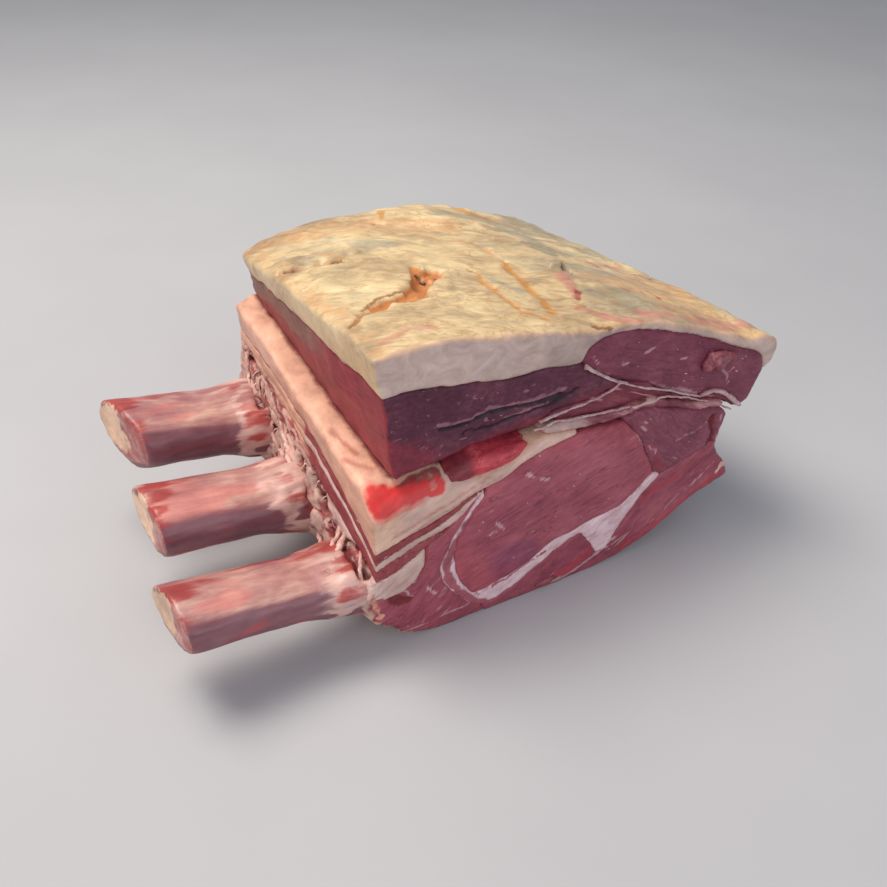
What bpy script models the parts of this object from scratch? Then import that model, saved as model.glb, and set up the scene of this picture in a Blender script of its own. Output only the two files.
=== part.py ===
"""Three-bone beef rib roast, raw and frenched, with its cap of muscle and back fat.

The roast is a stack of muscles and fat layers that run from the near cut face (-Y) to the far
one (+Y). Each tissue is one closed solid: an outline in the X-Z plane, carried through the
roast along Y while the whole stack sinks, narrows and leans with it. Three rib bones stick out
at -X. Lengths in the outlines and constants are millimetres; the objects are made in metres.
"""

import math

import bmesh
import bpy
import numpy as np

MM = 0.001

# ---- the roast as a whole ----
DEPTH = 156.0             # near cut face to far cut face
CAP_SET_BACK = 4.5        # the cap's near face stands back from the lower block's
FLOOR_Z = -22.0           # flat underside that the roast rests on
GAP = 0.36                # clearance between neighbouring tissues
STATIONS = (0.0, 5.0, 13.0, 27.0, 48.0, 76.0, 106.0, 134.0, 156.0)
RIDGE_RISE = 3.0          # low ridge of fat behind the near left corner
SIDE_TAPER = 44.0         # the eye side comes in this much towards the back
CORNER_SETBACK = 10.0     # the far face comes forward at the rib side
FRONT_SLUMP = 10.0        # the lower fat's top edge sags this much at the near face
LAYER_CLIMB = 21.0        # side layers climb this much along the rib side

# ---- fall of the cap's top (-) and rise of the block's top (+) from near face to far: (x, z) ----
TOP_DROP = ((7.0, 19.0), (25.0, 16.6), (47.0, 13.0), (80.0, 7.0), (104.0, 3.0), (136.0, 2.0),
            (154.0, 0.0), (172.0, -4.0), (188.0, -7.5), (204.0, -9.0))
BLOCK_RISE = ((5.0, 13.0), (20.0, 12.0), (50.0, 7.0), (90.0, 2.0), (120.0, -1.0), (150.0, 0.0),
              (188.0, 4.0))

# ---- reference surfaces of the stack: (x, z) ----
BLOCK_TOP = ((0.0, 57.0), (12.0, 58.5), (24.0, 59.5), (34.0, 60.0), (44.0, 62.0), (54.0, 63.0),
             (64.0, 63.0), (72.0, 63.0), (79.0, 66.4), (86.0, 66.4), (95.0, 65.0), (104.0, 63.2),
             (117.0, 62.2), (126.0, 63.2), (135.0, 62.2), (145.0, 59.0), (157.0, 53.6),
             (170.0, 50.6), (176.0, 49.0), (188.0, 41.5))
CAP_BOTTOM = ((0.0, 61.5), (14.0, 62.0), (25.0, 62.6), (36.0, 64.6), (46.0, 66.0), (60.0, 67.0),
              (72.0, 67.6), (79.0, 68.2), (86.0, 67.0), (95.0, 65.0))
CAP_TOP = ((6.0, 112.5), (16.0, 114.0), (31.0, 114.0), (47.0, 113.0), (63.0, 111.0),
           (80.0, 107.6), (94.0, 104.6), (104.0, 102.8), (118.0, 101.2), (136.0, 98.0),
           (154.0, 92.0), (172.0, 84.2), (188.0, 77.8), (198.0, 75.0), (204.0, 73.0))
SLUMP_FLOOR = ((0.0, 32.0), (45.0, 47.0), (70.0, 56.0), (80.0, 60.0))

# ---- shared boundaries between tissues, near face, left to right: (x, z) ----
STRIP_TOP = ((3.2, 31.0), (9.0, 32.4), (18.0, 35.0), (26.0, 37.4), (34.0, 40.2), (42.0, 43.6))
STRIP_BOTTOM = ((3.0, 26.0), (11.0, 29.4), (22.0, 33.0), (32.0, 36.4), (40.0, 39.8),
                (46.0, 43.6))
LINE_BOTTOM = ((2.9, 23.2), (12.0, 26.6), (21.0, 30.2), (30.0, 32.4), (38.0, 34.6),
               (43.0, 37.8), (47.0, 42.2))
LAYERS_MEET = (51.2, 46.6)
SIDE_FAT_TOP = ((2.6, 17.4), (11.0, 19.6), (19.0, 24.0), (24.0, 27.6))
SIDE_FAT_EDGE = ((24.5, 20.0), (20.0, 10.6), (14.5, 7.0), (7.0, 7.4), (1.6, 8.4))
STRIP_TWO_TIP = (33.0, 31.4)
SEAM_OUTER = ((44.6, 36.6), (37.0, 26.6), (34.4, 19.4), (31.6, 12.4), (33.2, 4.0),
              (39.6, -6.4), (46.0, -13.4), (53.0, -17.6))
SEAM_UNDER = ((59.0, -16.6), (65.0, -14.0), (73.0, -11.8), (80.0, -7.8), (88.0, -2.0),
              (96.0, 2.2), (103.0, 3.6), (109.0, -4.4), (113.0, -12.0), (118.4, -12.6),
              (122.0, -4.0), (127.0, 4.0), (133.0, 11.0), (139.0, 17.0))
SEAM_TIP = (144.4, 21.8)
EYE_LEFT = ((51.0, 43.2), (46.0, 34.6), (39.2, 25.0), (38.0, 18.0), (38.8, 7.0), (42.4, -2.0),
            (47.4, -8.6))
EYE_UNDER = ((53.0, -9.2), (60.0, -7.4), (67.0, -5.8), (75.0, -3.0), (81.0, 1.0), (87.0, 4.8),
             (96.0, 6.4), (104.0, 8.2), (113.0, 9.6), (123.0, 11.4), (132.0, 17.4), (140.0, 24.2))
EYE_TOP = ((58.0, 48.4), (69.0, 55.0), (79.0, 57.6), (92.0, 59.2), (104.0, 58.2), (119.0, 56.6))
EYE_RIGHT = ((127.0, 48.6), (133.0, 37.4))
CHINE_SPLIT = ((160.0, 26.0), (175.6, 30.0))
RIGHT_LOW = ((175.2, 26.6), (178.0, 21.0), (183.4, 14.6), (188.0, 6.2))
RIGHT_HIGH = ((176.4, 36.0), (178.2, 43.0), (175.4, 46.6))
UNDERSIDE_LEFT = ((0.0, 1.0), (3.4, -6.0), (13.0, -14.4), (22.0, -19.6), (31.0, FLOOR_Z),
                  (54.0, FLOOR_Z))
UNDERSIDE_RIGHT = ((76.0, FLOOR_Z), (98.0, FLOOR_Z), (112.0, FLOOR_Z), (124.0, -20.2),
                   (136.0, -16.4), (148.0, -11.4), (160.0, -4.6), (170.0, 1.4), (181.0, 4.6))
FLAP_UNDER = ((99.0, 60.4), (119.6, 58.6), (126.0, 60.2), (135.0, 59.2), (145.0, 56.0),
              (157.0, 50.8), (170.0, 48.0))
TONGUE_UNDER = ((41.0, 55.4), (50.0, 54.6), (59.0, 56.6), (66.0, 58.8))
CAP_FAT_UNDER = ((8.2, 97.6), (18.0, 97.8), (32.0, 96.2), (48.0, 94.2), (64.0, 92.2),
                 (78.0, 91.8), (88.0, 90.0))
OVAL_TOP = ((95.4, 90.6), (98.4, 96.4), (105.0, 99.2), (119.0, 98.6), (136.0, 94.8),
            (154.0, 88.0), (172.0, 79.8), (188.0, 72.8), (198.6, 65.4), (201.0, 57.6))
OVAL_RIGHT = ((198.6, 50.6), (195.6, 43.8), (188.0, 41.4))
OVAL_UNDER = ((184.6, 46.4), (179.4, 51.4), (170.0, 54.4), (159.0, 55.4), (145.0, 61.6),
              (131.0, 70.4))
MUSCLE_RIGHT = ((119.4, 75.2), (108.0, 81.4), (99.0, 86.6))
MUSCLE_UNDER = ((113.0, 72.6), (101.0, 71.4), (90.0, 72.2), (83.0, 71.2))

# ---- rib bones ----
BONE_Y = (18.4, 72.1, 126.6)          # across the roast
BONE_ROOT_Z = (7.4, 13.2, 21.0)       # height where the bone leaves the meat
BONE_TIP_Z = (17.0, 22.0, 30.0)
BONE_TIP_X = (-73.0, -66.5, -62.0)
BONE_SAW_SLANT = (-0.15, -0.10, -0.32)  # the sawn end leans this much across the bone
BONE_SIZE = (0.94, 1.08, 1.20)        # each bone against the middle size below
BONE_WIDTH = 34.5                     # along Y
BONE_HEIGHT = 25.0
BONE_END_SWELL = 1.06                 # sawn end over the shaft
BONE_BURIED = 27.0                    # length inside the meat
BONE_BURIED_SCALE = 0.72
BONE_SIDES = 18
SOCKET_CLEARANCE = 0.35

# ---- tissue looks: colour, roughness ----
FAT_CREAM = ((0.80, 0.68, 0.44), 0.50)
FAT_WHITE = ((0.72, 0.56, 0.50), 0.45)
FAT_PINK = ((0.72, 0.38, 0.32), 0.45)
LEAN_RED = ((0.26, 0.06, 0.06), 0.42)
LEAN_DARK = ((0.13, 0.035, 0.05), 0.42)
LEAN_MAUVE = ((0.24, 0.075, 0.09), 0.42)
BONE_BEIGE = ((0.56, 0.36, 0.31), 0.45)


def clear_scene():
    """Remove every object, so that only the roast is left."""
    for item in list(bpy.data.objects):
        bpy.data.objects.remove(item, do_unlink=True)


def along(curve, x):
    """Height of a curve at x, straight between its points."""
    return float(np.interp(x, [p[0] for p in curve], [p[1] for p in curve]))


def clamp(value, low=0.0, high=1.0):
    return max(low, min(high, value))


def slump(x, z, y):
    """Sag of the lower fat's top edge at the near face."""
    top = along(BLOCK_TOP, x)
    floor = along(SLUMP_FLOOR, x)
    if z <= floor or z > top + 0.1:
        return 0.0
    reach = clamp((78.0 - x) / 33.0)
    fade = clamp(1.0 - y / 14.0) ** 2
    return FRONT_SLUMP * reach * fade * clamp((z - floor) / (top - floor))


def layer_climb(x, z, y):
    """Climb of the thin side layers along the rib side."""
    share = float(np.interp(z, (-22.0, -5.0, 1.0, 8.0, 25.0, 31.0, 57.0),
                            (0.0, 0.08, 0.2, 0.5, 1.0, 1.0, 0.0)))
    return LAYER_CLIMB * share * (1.0 - math.exp(-y / 30.0)) * math.exp(-x / 35.0)


def stack_shift(x, z, s, y):
    """Rise or fall of the stack at depth share s: none at the floor, most at the cap's top."""
    low = along(BLOCK_TOP, x)
    high = max(low, along(CAP_BOTTOM, x)) if x < CAP_BOTTOM[-1][0] else low
    top = along(CAP_TOP, x)
    low_shift = along(BLOCK_RISE, x) * s ** 1.3
    closing = (high - low) * clamp(y / 46.0) * 0.92
    high_shift = low_shift - closing
    ridge = RIDGE_RISE * math.exp(-((y - 22.0) / 22.0) ** 2) * math.exp(-(x / 45.0) ** 2)
    top_shift = ridge - along(TOP_DROP, x) * s ** 1.7
    levels = (FLOOR_Z, low, high + 0.001, top)
    return float(np.interp(z, levels, (0.0, low_shift, high_shift, top_shift)))


def place(x, y, z):
    """Carry a point of the reference stack to its place in the roast (mm)."""
    s = y / DEPTH
    lifted = z
    if z <= along(BLOCK_TOP, x) + 0.1:
        lifted = z - slump(x, z, y) + layer_climb(x, z, y)
    lifted += stack_shift(x, z, s, y)
    taper = SIDE_TAPER * s ** 1.6 * clamp((x - 40.0) / 160.0) ** 1.5
    lean = 2.3 * s * clamp((z - 60.0) / 30.0) * math.exp(-x / 40.0)
    across = x - taper + lean
    setback = CORNER_SETBACK * math.exp(-max(x, 0.0) / 14.0)
    deep = y * (1.0 - setback / DEPTH)
    return across, deep, lifted


def inset(outline, gap):
    """Draw an outline in by a constant gap, limiting it at sharp tips."""
    points = [np.array(p, dtype=float) for p in outline]
    count = len(points)
    area = sum(points[i][0] * points[(i + 1) % count][1] - points[(i + 1) % count][0] * points[i][1]
               for i in range(count))
    side = 1.0 if area > 0.0 else -1.0
    drawn = []
    for i in range(count):
        ahead = points[(i + 1) % count] - points[i]
        behind = points[i] - points[i - 1]
        n_ahead = side * np.array((-ahead[1], ahead[0])) / np.linalg.norm(ahead)
        n_behind = side * np.array((-behind[1], behind[0])) / np.linalg.norm(behind)
        middle = n_ahead + n_behind
        length = max(float(np.linalg.norm(middle)), 0.35)
        drawn.append(points[i] + middle / length * gap * min(2.0 / length, 4.0))
    return drawn


def tissue_material(name, look):
    colour, rough = look
    material = bpy.data.materials.new(name)
    material.use_nodes = True
    shader = material.node_tree.nodes["Principled BSDF"]
    shader.inputs["Base Color"].default_value = (*colour, 1.0)
    shader.inputs["Roughness"].default_value = rough
    shader.inputs["Metallic"].default_value = 0.0
    return material


def finish_object(name, mesh, look):
    """Put a mesh in the scene as one named tissue, smooth with sharp rims."""
    item = bpy.data.objects.new(name, mesh)
    bpy.context.scene.collection.objects.link(item)
    mesh.materials.append(tissue_material(name + "_look", look))
    mesh.shade_smooth()
    mesh.set_sharp_from_angle(angle=math.radians(35.0))
    return item


def closed_mesh(work, name):
    """Turn a closed bmesh into a mesh with its faces pointing out."""
    bmesh.ops.recalc_face_normals(work, faces=work.faces[:])
    if work.calc_volume(signed=True) < 0.0:
        bmesh.ops.reverse_faces(work, faces=work.faces[:])
    mesh = bpy.data.meshes.new(name)
    work.to_mesh(mesh)
    work.free()
    return mesh


def tissue(name, outline, look, start=0.0):
    """One tissue: its outline carried through the roast from start to the far face.

    Side faces are split the same way on both sides of a shared boundary, so that neighbours
    stay parallel where the stack twists.
    """
    drawn = inset(outline, GAP / 2.0)
    stations = [start] + [y for y in STATIONS if y > start + 2.0]
    work = bmesh.new()
    rings = []
    for y in stations:
        ring = [work.verts.new([c * MM for c in place(p[0], y, p[1])]) for p in drawn]
        rings.append(ring)
    count = len(drawn)
    order = [p[0] + 0.37 * p[1] for p in drawn]
    for near, far in zip(rings, rings[1:]):
        for i in range(count):
            j = (i + 1) % count
            if order[i] < order[j]:
                work.faces.new((near[i], near[j], far[j]))
                work.faces.new((near[i], far[j], far[i]))
            else:
                work.faces.new((near[i], near[j], far[i]))
                work.faces.new((near[j], far[j], far[i]))
    work.faces.new(rings[0][::-1])
    work.faces.new(rings[-1])
    work.normal_update()
    bmesh.ops.triangulate(work, faces=[f for f in work.faces if len(f.verts) > 3])
    return finish_object(name, closed_mesh(work, name), look)


def bone_ring(work, index, x, scale, grow):
    """One elliptical ring of a rib bone, flattened a little on its upper side."""
    root_z = BONE_ROOT_Z[index]
    tip_x = BONE_TIP_X[index]
    share = x / tip_x
    centre_z = root_z + (BONE_TIP_Z[index] - root_z) * share + 2.2 * share * (1.0 - share)
    scale *= BONE_SIZE[index]
    ring = []
    for k in range(BONE_SIDES):
        turn = 2.0 * math.pi * k / BONE_SIDES
        across = math.cos(turn)
        up = math.sin(turn)
        up *= 1.0 - 0.10 * max(up, 0.0)
        y = BONE_Y[index] + across * (BONE_WIDTH / 2.0 * scale + grow)
        z = centre_z + up * (BONE_HEIGHT / 2.0 * scale + grow) 
        slant = BONE_SAW_SLANT[index] * across * BONE_WIDTH / 2.0 * clamp(share) ** 3
        ring.append(work.verts.new(((x + slant) * MM, y * MM, z * MM)))
    return ring


def bone_mesh(name, index, grow=0.0):
    """A rib bone from its buried end to the sawn end; grow makes its socket's cutter."""
    tip = BONE_TIP_X[index]
    runs = ((BONE_BURIED + grow, BONE_BURIED_SCALE), (13.0, 0.80), (4.0, 0.94), (-4.0, 1.0),
            (tip * 0.35, 0.97), (tip * 0.7, 1.0), (tip + 2.0, BONE_END_SWELL),
            (tip, BONE_END_SWELL - 0.05))
    work = bmesh.new()
    rings = [bone_ring(work, index, x, scale, grow) for x, scale in runs]
    for near, far in zip(rings, rings[1:]):
        for i in range(BONE_SIDES):
            j = (i + 1) % BONE_SIDES
            work.faces.new((near[i], near[j], far[j], far[i]))
    work.faces.new(rings[0][::-1])
    work.faces.new(rings[-1])
    bmesh.ops.triangulate(work, faces=work.faces[:])
    return closed_mesh(work, name)


def add_bones():
    """The three rib bones and the cutters of their sockets."""
    cutters = []
    for index in range(len(BONE_Y)):
        finish_object(f"rib_bone_{index + 1}", bone_mesh(f"rib_bone_{index + 1}", index),
                      BONE_BEIGE)
        cutter_mesh = bone_mesh(f"socket_{index + 1}", index, SOCKET_CLEARANCE)
        cutter = bpy.data.objects.new(f"socket_{index + 1}", cutter_mesh)
        bpy.context.scene.collection.objects.link(cutter)
        cutter.hide_render = True
        cutter.display_type = "WIRE"
        cutters.append(cutter)
    return cutters


def cut_sockets(item, cutters):
    for cutter in cutters:
        cut = item.modifiers.new(f"cut_{cutter.name}", "BOOLEAN")
        cut.operation = "DIFFERENCE"
        cut.solver = "EXACT"
        cut.object = cutter


def block_top_between(first, last):
    return tuple(p for p in BLOCK_TOP if first <= p[0] <= last)


def add_lower_block():
    """Lower block: eye muscle in its seam fat, side layers, chain and the fat over them."""
    tongue_top = ((72.6, 63.0),) + block_top_between(44.0, 64.0)[::-1] + ((35.0, 60.1),)
    tissue("lower_fat",
           ((2.4, 57.2),) + STRIP_TOP + (LAYERS_MEET,) + EYE_TOP[:4] + ((98.6, 60.0),)
           + ((79.0, 63.6), (72.6, 62.8)) + TONGUE_UNDER[::-1]
           + ((35.0, 59.9), (24.0, 59.5), (12.0, 58.5)),
           FAT_WHITE)
    tissue("lean_tongue", TONGUE_UNDER + tongue_top, LEAN_RED, start=2.5)
    tissue("lean_strip_upper", STRIP_TOP + (LAYERS_MEET,) + STRIP_BOTTOM[::-1], LEAN_RED)
    tissue("strip_fat", STRIP_BOTTOM + (LAYERS_MEET,) + LINE_BOTTOM[::-1], FAT_PINK)
    tissue("lean_strip_lower",
           LINE_BOTTOM[:4] + (STRIP_TWO_TIP,) + SIDE_FAT_TOP[::-1], LEAN_RED)
    side_fat = tissue("side_fat", SIDE_FAT_TOP + SIDE_FAT_EDGE, FAT_WHITE)
    side_muscle = tissue("side_muscle",
                         SIDE_FAT_EDGE[::-1] + (SIDE_FAT_TOP[-1], STRIP_TWO_TIP)
                         + LINE_BOTTOM[4:] + (LAYERS_MEET,) + SEAM_OUTER
                         + UNDERSIDE_LEFT[::-1], LEAN_MAUVE)
    tissue("seam_fat",
           (LAYERS_MEET,) + SEAM_OUTER + SEAM_UNDER + (SEAM_TIP,) + EYE_UNDER[::-1]
           + EYE_LEFT[::-1], FAT_WHITE)
    tissue("rib_eye", EYE_LEFT + EYE_UNDER + EYE_RIGHT[::-1] + EYE_TOP[::-1] + ((52.8, 46.9),),
           LEAN_MAUVE)
    tissue("spinalis",
           EYE_TOP[5:] + EYE_RIGHT + (EYE_UNDER[-1], SEAM_TIP) + CHINE_SPLIT + RIGHT_HIGH
           + FLAP_UNDER[:0:-1], LEAN_MAUVE)
    tissue("chain_muscle",
           (SEAM_OUTER[-1],) + SEAM_UNDER + (SEAM_TIP,) + CHINE_SPLIT + RIGHT_LOW
           + UNDERSIDE_RIGHT[::-1] + (UNDERSIDE_LEFT[-1],), LEAN_RED)
    tissue("flap_fat",
           ((79.0, 63.9),) + FLAP_UNDER + ((175.6, 46.9), (177.0, 48.6))
           + block_top_between(79.0, 171.0)[::-1], FAT_PINK, start=1.5)
    return side_fat, side_muscle


def add_cap():
    """Cap: back fat, the cap muscle, the oval muscle and the thin flap beneath them."""
    tissue("cap_fat",
           CAP_TOP + ((206.2, 69.4), (205.6, 62.0)) + OVAL_TOP[::-1] + CAP_FAT_UNDER[::-1],
           FAT_CREAM, start=CAP_SET_BACK)
    tissue("cap_muscle",
           CAP_FAT_UNDER + (OVAL_TOP[0],) + MUSCLE_RIGHT[::-1] + MUSCLE_UNDER
           + ((79.4, 68.6),) + CAP_BOTTOM[6:0:-1], LEAN_DARK, start=CAP_SET_BACK)
    tissue("cap_oval", OVAL_TOP + OVAL_RIGHT + OVAL_UNDER + MUSCLE_RIGHT, LEAN_MAUVE,
           start=CAP_SET_BACK)
    tissue("cap_flap",
           block_top_between(86.0, 170.0) + ((178.0, 48.4), (186.8, 42.6)) + OVAL_UNDER
           + (MUSCLE_RIGHT[0],) + MUSCLE_UNDER + ((80.6, 69.0),), LEAN_RED,
           start=CAP_SET_BACK)


def centre_on_base():
    """Move the roast so that the origin is the middle of its box at the floor."""
    solids = [item for item in bpy.data.objects if not item.hide_render]
    corners = np.array([tuple(v.co) for item in solids for v in item.data.vertices])
    low, high = corners.min(axis=0), corners.max(axis=0)
    shift = ((low[0] + high[0]) / 2.0, (low[1] + high[1]) / 2.0, low[2])
    for item in bpy.data.objects:
        for vertex in item.data.vertices:
            vertex.co = [vertex.co[k] - shift[k] for k in range(3)]
        item.data.update()


def main():
    clear_scene()
    cutters = add_bones()
    for item in add_lower_block():
        cut_sockets(item, cutters)
    add_cap()
    centre_on_base()


main()
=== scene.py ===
"""Looks of a raw three-bone beef rib roast: muscles, fat layers, membranes and scraped bones."""
import logging
import math
from dataclasses import dataclass
from enum import Enum
from typing import Iterable, Sequence

import bmesh
import bpy
import numpy as np
from mathutils import Matrix, Vector


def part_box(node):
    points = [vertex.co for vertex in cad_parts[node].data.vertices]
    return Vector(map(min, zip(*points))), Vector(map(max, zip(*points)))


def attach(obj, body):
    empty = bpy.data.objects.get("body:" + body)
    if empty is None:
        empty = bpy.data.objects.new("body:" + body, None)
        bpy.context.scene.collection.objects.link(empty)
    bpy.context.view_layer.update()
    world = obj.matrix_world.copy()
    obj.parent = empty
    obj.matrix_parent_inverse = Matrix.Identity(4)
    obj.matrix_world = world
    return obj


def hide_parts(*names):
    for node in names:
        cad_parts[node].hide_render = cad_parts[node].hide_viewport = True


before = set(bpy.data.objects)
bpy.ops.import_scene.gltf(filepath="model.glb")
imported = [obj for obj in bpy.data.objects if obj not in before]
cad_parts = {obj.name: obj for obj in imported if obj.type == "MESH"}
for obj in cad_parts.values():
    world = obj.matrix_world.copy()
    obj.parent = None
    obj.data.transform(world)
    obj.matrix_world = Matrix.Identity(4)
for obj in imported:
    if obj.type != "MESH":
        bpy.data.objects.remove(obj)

LOG = logging.getLogger("rib_roast")
MM = 0.001
BODY = "root"
Array = np.ndarray
Colour = tuple[float, float, float]
Point = tuple[float, float, float]
Route = tuple[tuple[float, float], ...]
Socket = bpy.types.NodeSocket
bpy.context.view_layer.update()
RIBS = (1, 2, 3)
TORN_Y = (-78.0, -44.0, -14.0, 20.0, 60.0)      # along the rib side, mm
TORN_Z = (36.0, 45.0, 58.0, 68.0, 74.0)         # height of the torn line there, mm
TEAR_TURN = 24.0                                # degrees
TEAR_SIZE = (6.0, 11.0, 3.4)                    # mm
CLING = 4.0                                     # how far tissue reaches out to a bone, mm
ROOT_HEIGHT = 0.72                              # height of a rib to its width
STRING_Z = (34.0, 44.0, 57.0, 67.0, 73.0)       # height that the fine strings start at, mm
WANDER = (1.1, 0.5, 1.2)                        # how far the whole stack wanders, mm
WIDTH_WANDER = 0.6                              # share of a mark's width that varies
MARK_FADE = 0.35                                # share of a mark that fades in patches
RAGGED_REACH = 1.8                              # how far noise moves a tint's edge
RAGGED_EDGE = (0.22, 0.78)                      # where a tint's edge starts and ends
TONE_STOPS = (0.36, 0.5, 0.64)                  # tone of the dark, middle and light colour
TONE_DARK, TONE_LIGHT = 0.70, 1.28              # how much tone darkens and lights a tint
FINE_RELIEF = (1400.0, 0.07)                    # features per metre and depth in mm


class Face(Enum):
    """A side of the roast: the two axes that lie in it and the way it faces."""

    NEAR = ((0, 2), (0.0, -1.0, 0.0))
    RIB = ((1, 2), (-1.0, 0.0, 0.0))
    TOP = ((0, 1), (0.0, 0.0, 1.0))


class Paint(Enum):
    """A painted mask; its value names the mesh attribute that holds it."""

    AMBER = "amber"         # dried yellow-brown fat
    BELLY = "belly"         # painted shade on the side of a rib turned from the light
    BLOOD = "blood"         # fresh blood
    BLUSH = "blush"         # faint blood
    BROWN = "brown"         # dried edge of the lean
    CREASE = "crease"       # dark crease: painted shade in a carved crease
    FATTY = "fatty"         # where a layer is plain fat
    GREEN = "green"         # grey-green area, and painted shade on the fat's right slope
    GRISTLE = "gristle"     # pale torn tissue
    HOLE = "hole"           # painted shade in a carved hole
    LINE = "line"           # thin red line
    MEMBRANE = "membrane"   # pale thread
    NEAR = "near"           # the near cut face
    PINK = "pink"           # pink area
    PIT = "pit"             # bare floor of the gouge
    POCKET = "pocket"       # painted shade in a carved pocket
    RAW = "raw"             # raw lean
    RED = "red"             # redder area
    RIM = "rim"             # edge of a face
    SALMON = "salmon"       # warm bare fat
    SAWN = "sawn"           # sawn bone
    SHADE = "shade"         # hidden part
    SIDE = "side"           # the rib-side face
    TAN = "tan"             # tan area
    UNDER = "under"         # redder lower part
    VIOLET = "violet"       # violet area
    WHITE = "white"         # white cut fat


# ---------------------------------------------------------------- number helpers
def smoothstep(low: float, high: float, value: Array) -> Array:
    """Ease from 0 at low to 1 at high."""
    t = np.clip((value - low) / (high - low), 0.0, 1.0)
    return t * t * (3.0 - 2.0 * t)


def _corner(cell: Array, seed: int) -> Array:
    """Repeatable random value from -1 to 1 at each lattice cell.

    Args:
        cell: N by 3 whole lattice places.
        seed: Picks the pattern.

    Returns:
        One value for each place.
    """
    mixed = (cell[:, 0] * 73856093) ^ (cell[:, 1] * 19349663) ^ (cell[:, 2] * 83492791)
    mixed = (mixed ^ (seed * 2654435761)) & 0xFFFFFFFF
    mixed = ((mixed ^ (mixed >> 15)) * 2246822519) & 0xFFFFFFFF
    mixed = ((mixed ^ (mixed >> 13)) * 3266489917) & 0xFFFFFFFF
    return ((mixed ^ (mixed >> 16)) & 0xFFFFFF) / float(0x7FFFFF) - 1.0


def noise(points: Array, size: float | Sequence[float], seed: int = 0) -> Array:
    """Smooth value noise from -1 to 1.

    Args:
        points: N by 3 positions in metres.
        size: Feature size in mm, one for all axes or one for each.
        seed: Picks the pattern.

    Returns:
        One value for each point.
    """
    scaled = points / (np.asarray(size, float) * MM)
    base = np.floor(scaled).astype(np.int64)
    part = scaled - base
    part = part * part * part * (part * (part * 6.0 - 15.0) + 10.0)
    total = np.zeros(len(points))
    for dx in (0, 1):
        wx = part[:, 0] if dx else 1.0 - part[:, 0]
        for dy in (0, 1):
            wy = part[:, 1] if dy else 1.0 - part[:, 1]
            for dz in (0, 1):
                wz = part[:, 2] if dz else 1.0 - part[:, 2]
                total += wx * wy * wz * _corner(base + (dx, dy, dz), seed)
    return total


def cloud(points: Array, size: float | Sequence[float], seed: int = 0, octaves: int = 3) -> Array:
    """Sum of noise octaves, each half the size and half the strength of the last.

    Args:
        points: N by 3 positions in metres.
        size: Size in mm of the largest features, one for all axes or one for each.
        seed: Picks the pattern.
        octaves: How many octaves are added.

    Returns:
        One value for each point.
    """
    total = np.zeros(len(points))
    weight = 1.0
    sizes = np.asarray(size, float)
    for k in range(octaves):
        total += weight * noise(points, sizes, seed + 31 * k)
        weight *= 0.5
        sizes = sizes / 2.03
    return total / 1.6


def turned(points: Array, axis: str, degrees: float) -> Array:
    """Positions turned about an axis, so that a noise can run at a slant."""
    return points @ np.array(Matrix.Rotation(math.radians(degrees), 3, axis))


def route_distance(flat: Array, route: Route) -> tuple[Array, Array]:
    """Distance in mm from 2-D points to a route of straight runs.

    Args:
        flat: N by 2 positions in mm.
        route: The route's points in mm.

    Returns:
        The distance, and how far along the route (0 to 1) the nearest point lies.
    """
    best = np.full(len(flat), 1e9)
    share = np.zeros(len(flat))
    ends = np.asarray(route, float)
    lengths = np.linalg.norm(ends[1:] - ends[:-1], axis=1)
    whole = max(float(lengths.sum()), 1e-9)
    run = 0.0
    for start, end, length in zip(ends, ends[1:], lengths):
        way = (end - start) / max(length, 1e-9)
        along = np.clip((flat - start) @ way, 0.0, length)
        gap = np.linalg.norm(flat - start - along[:, None] * way, axis=1)
        nearer = gap < best
        best = np.where(nearer, gap, best)
        share = np.where(nearer, (run + along) / whole, share)
        run += length
    return best, share


def organic(points: Array) -> Array:
    """Gentle wander of the whole stack in mm, the same for every tissue, none at the floor.

    Args:
        points: N by 3 positions in metres.

    Returns:
        N by 3 offsets in mm.
    """
    height = smoothstep(0.0, 16.0, points[:, 2] / MM)
    ways = [cloud(points, 19.0, 400 + 7 * k, 3) for k in range(3)]
    return np.stack(ways, axis=1) * height[:, None] * np.array(WANDER)


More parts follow.
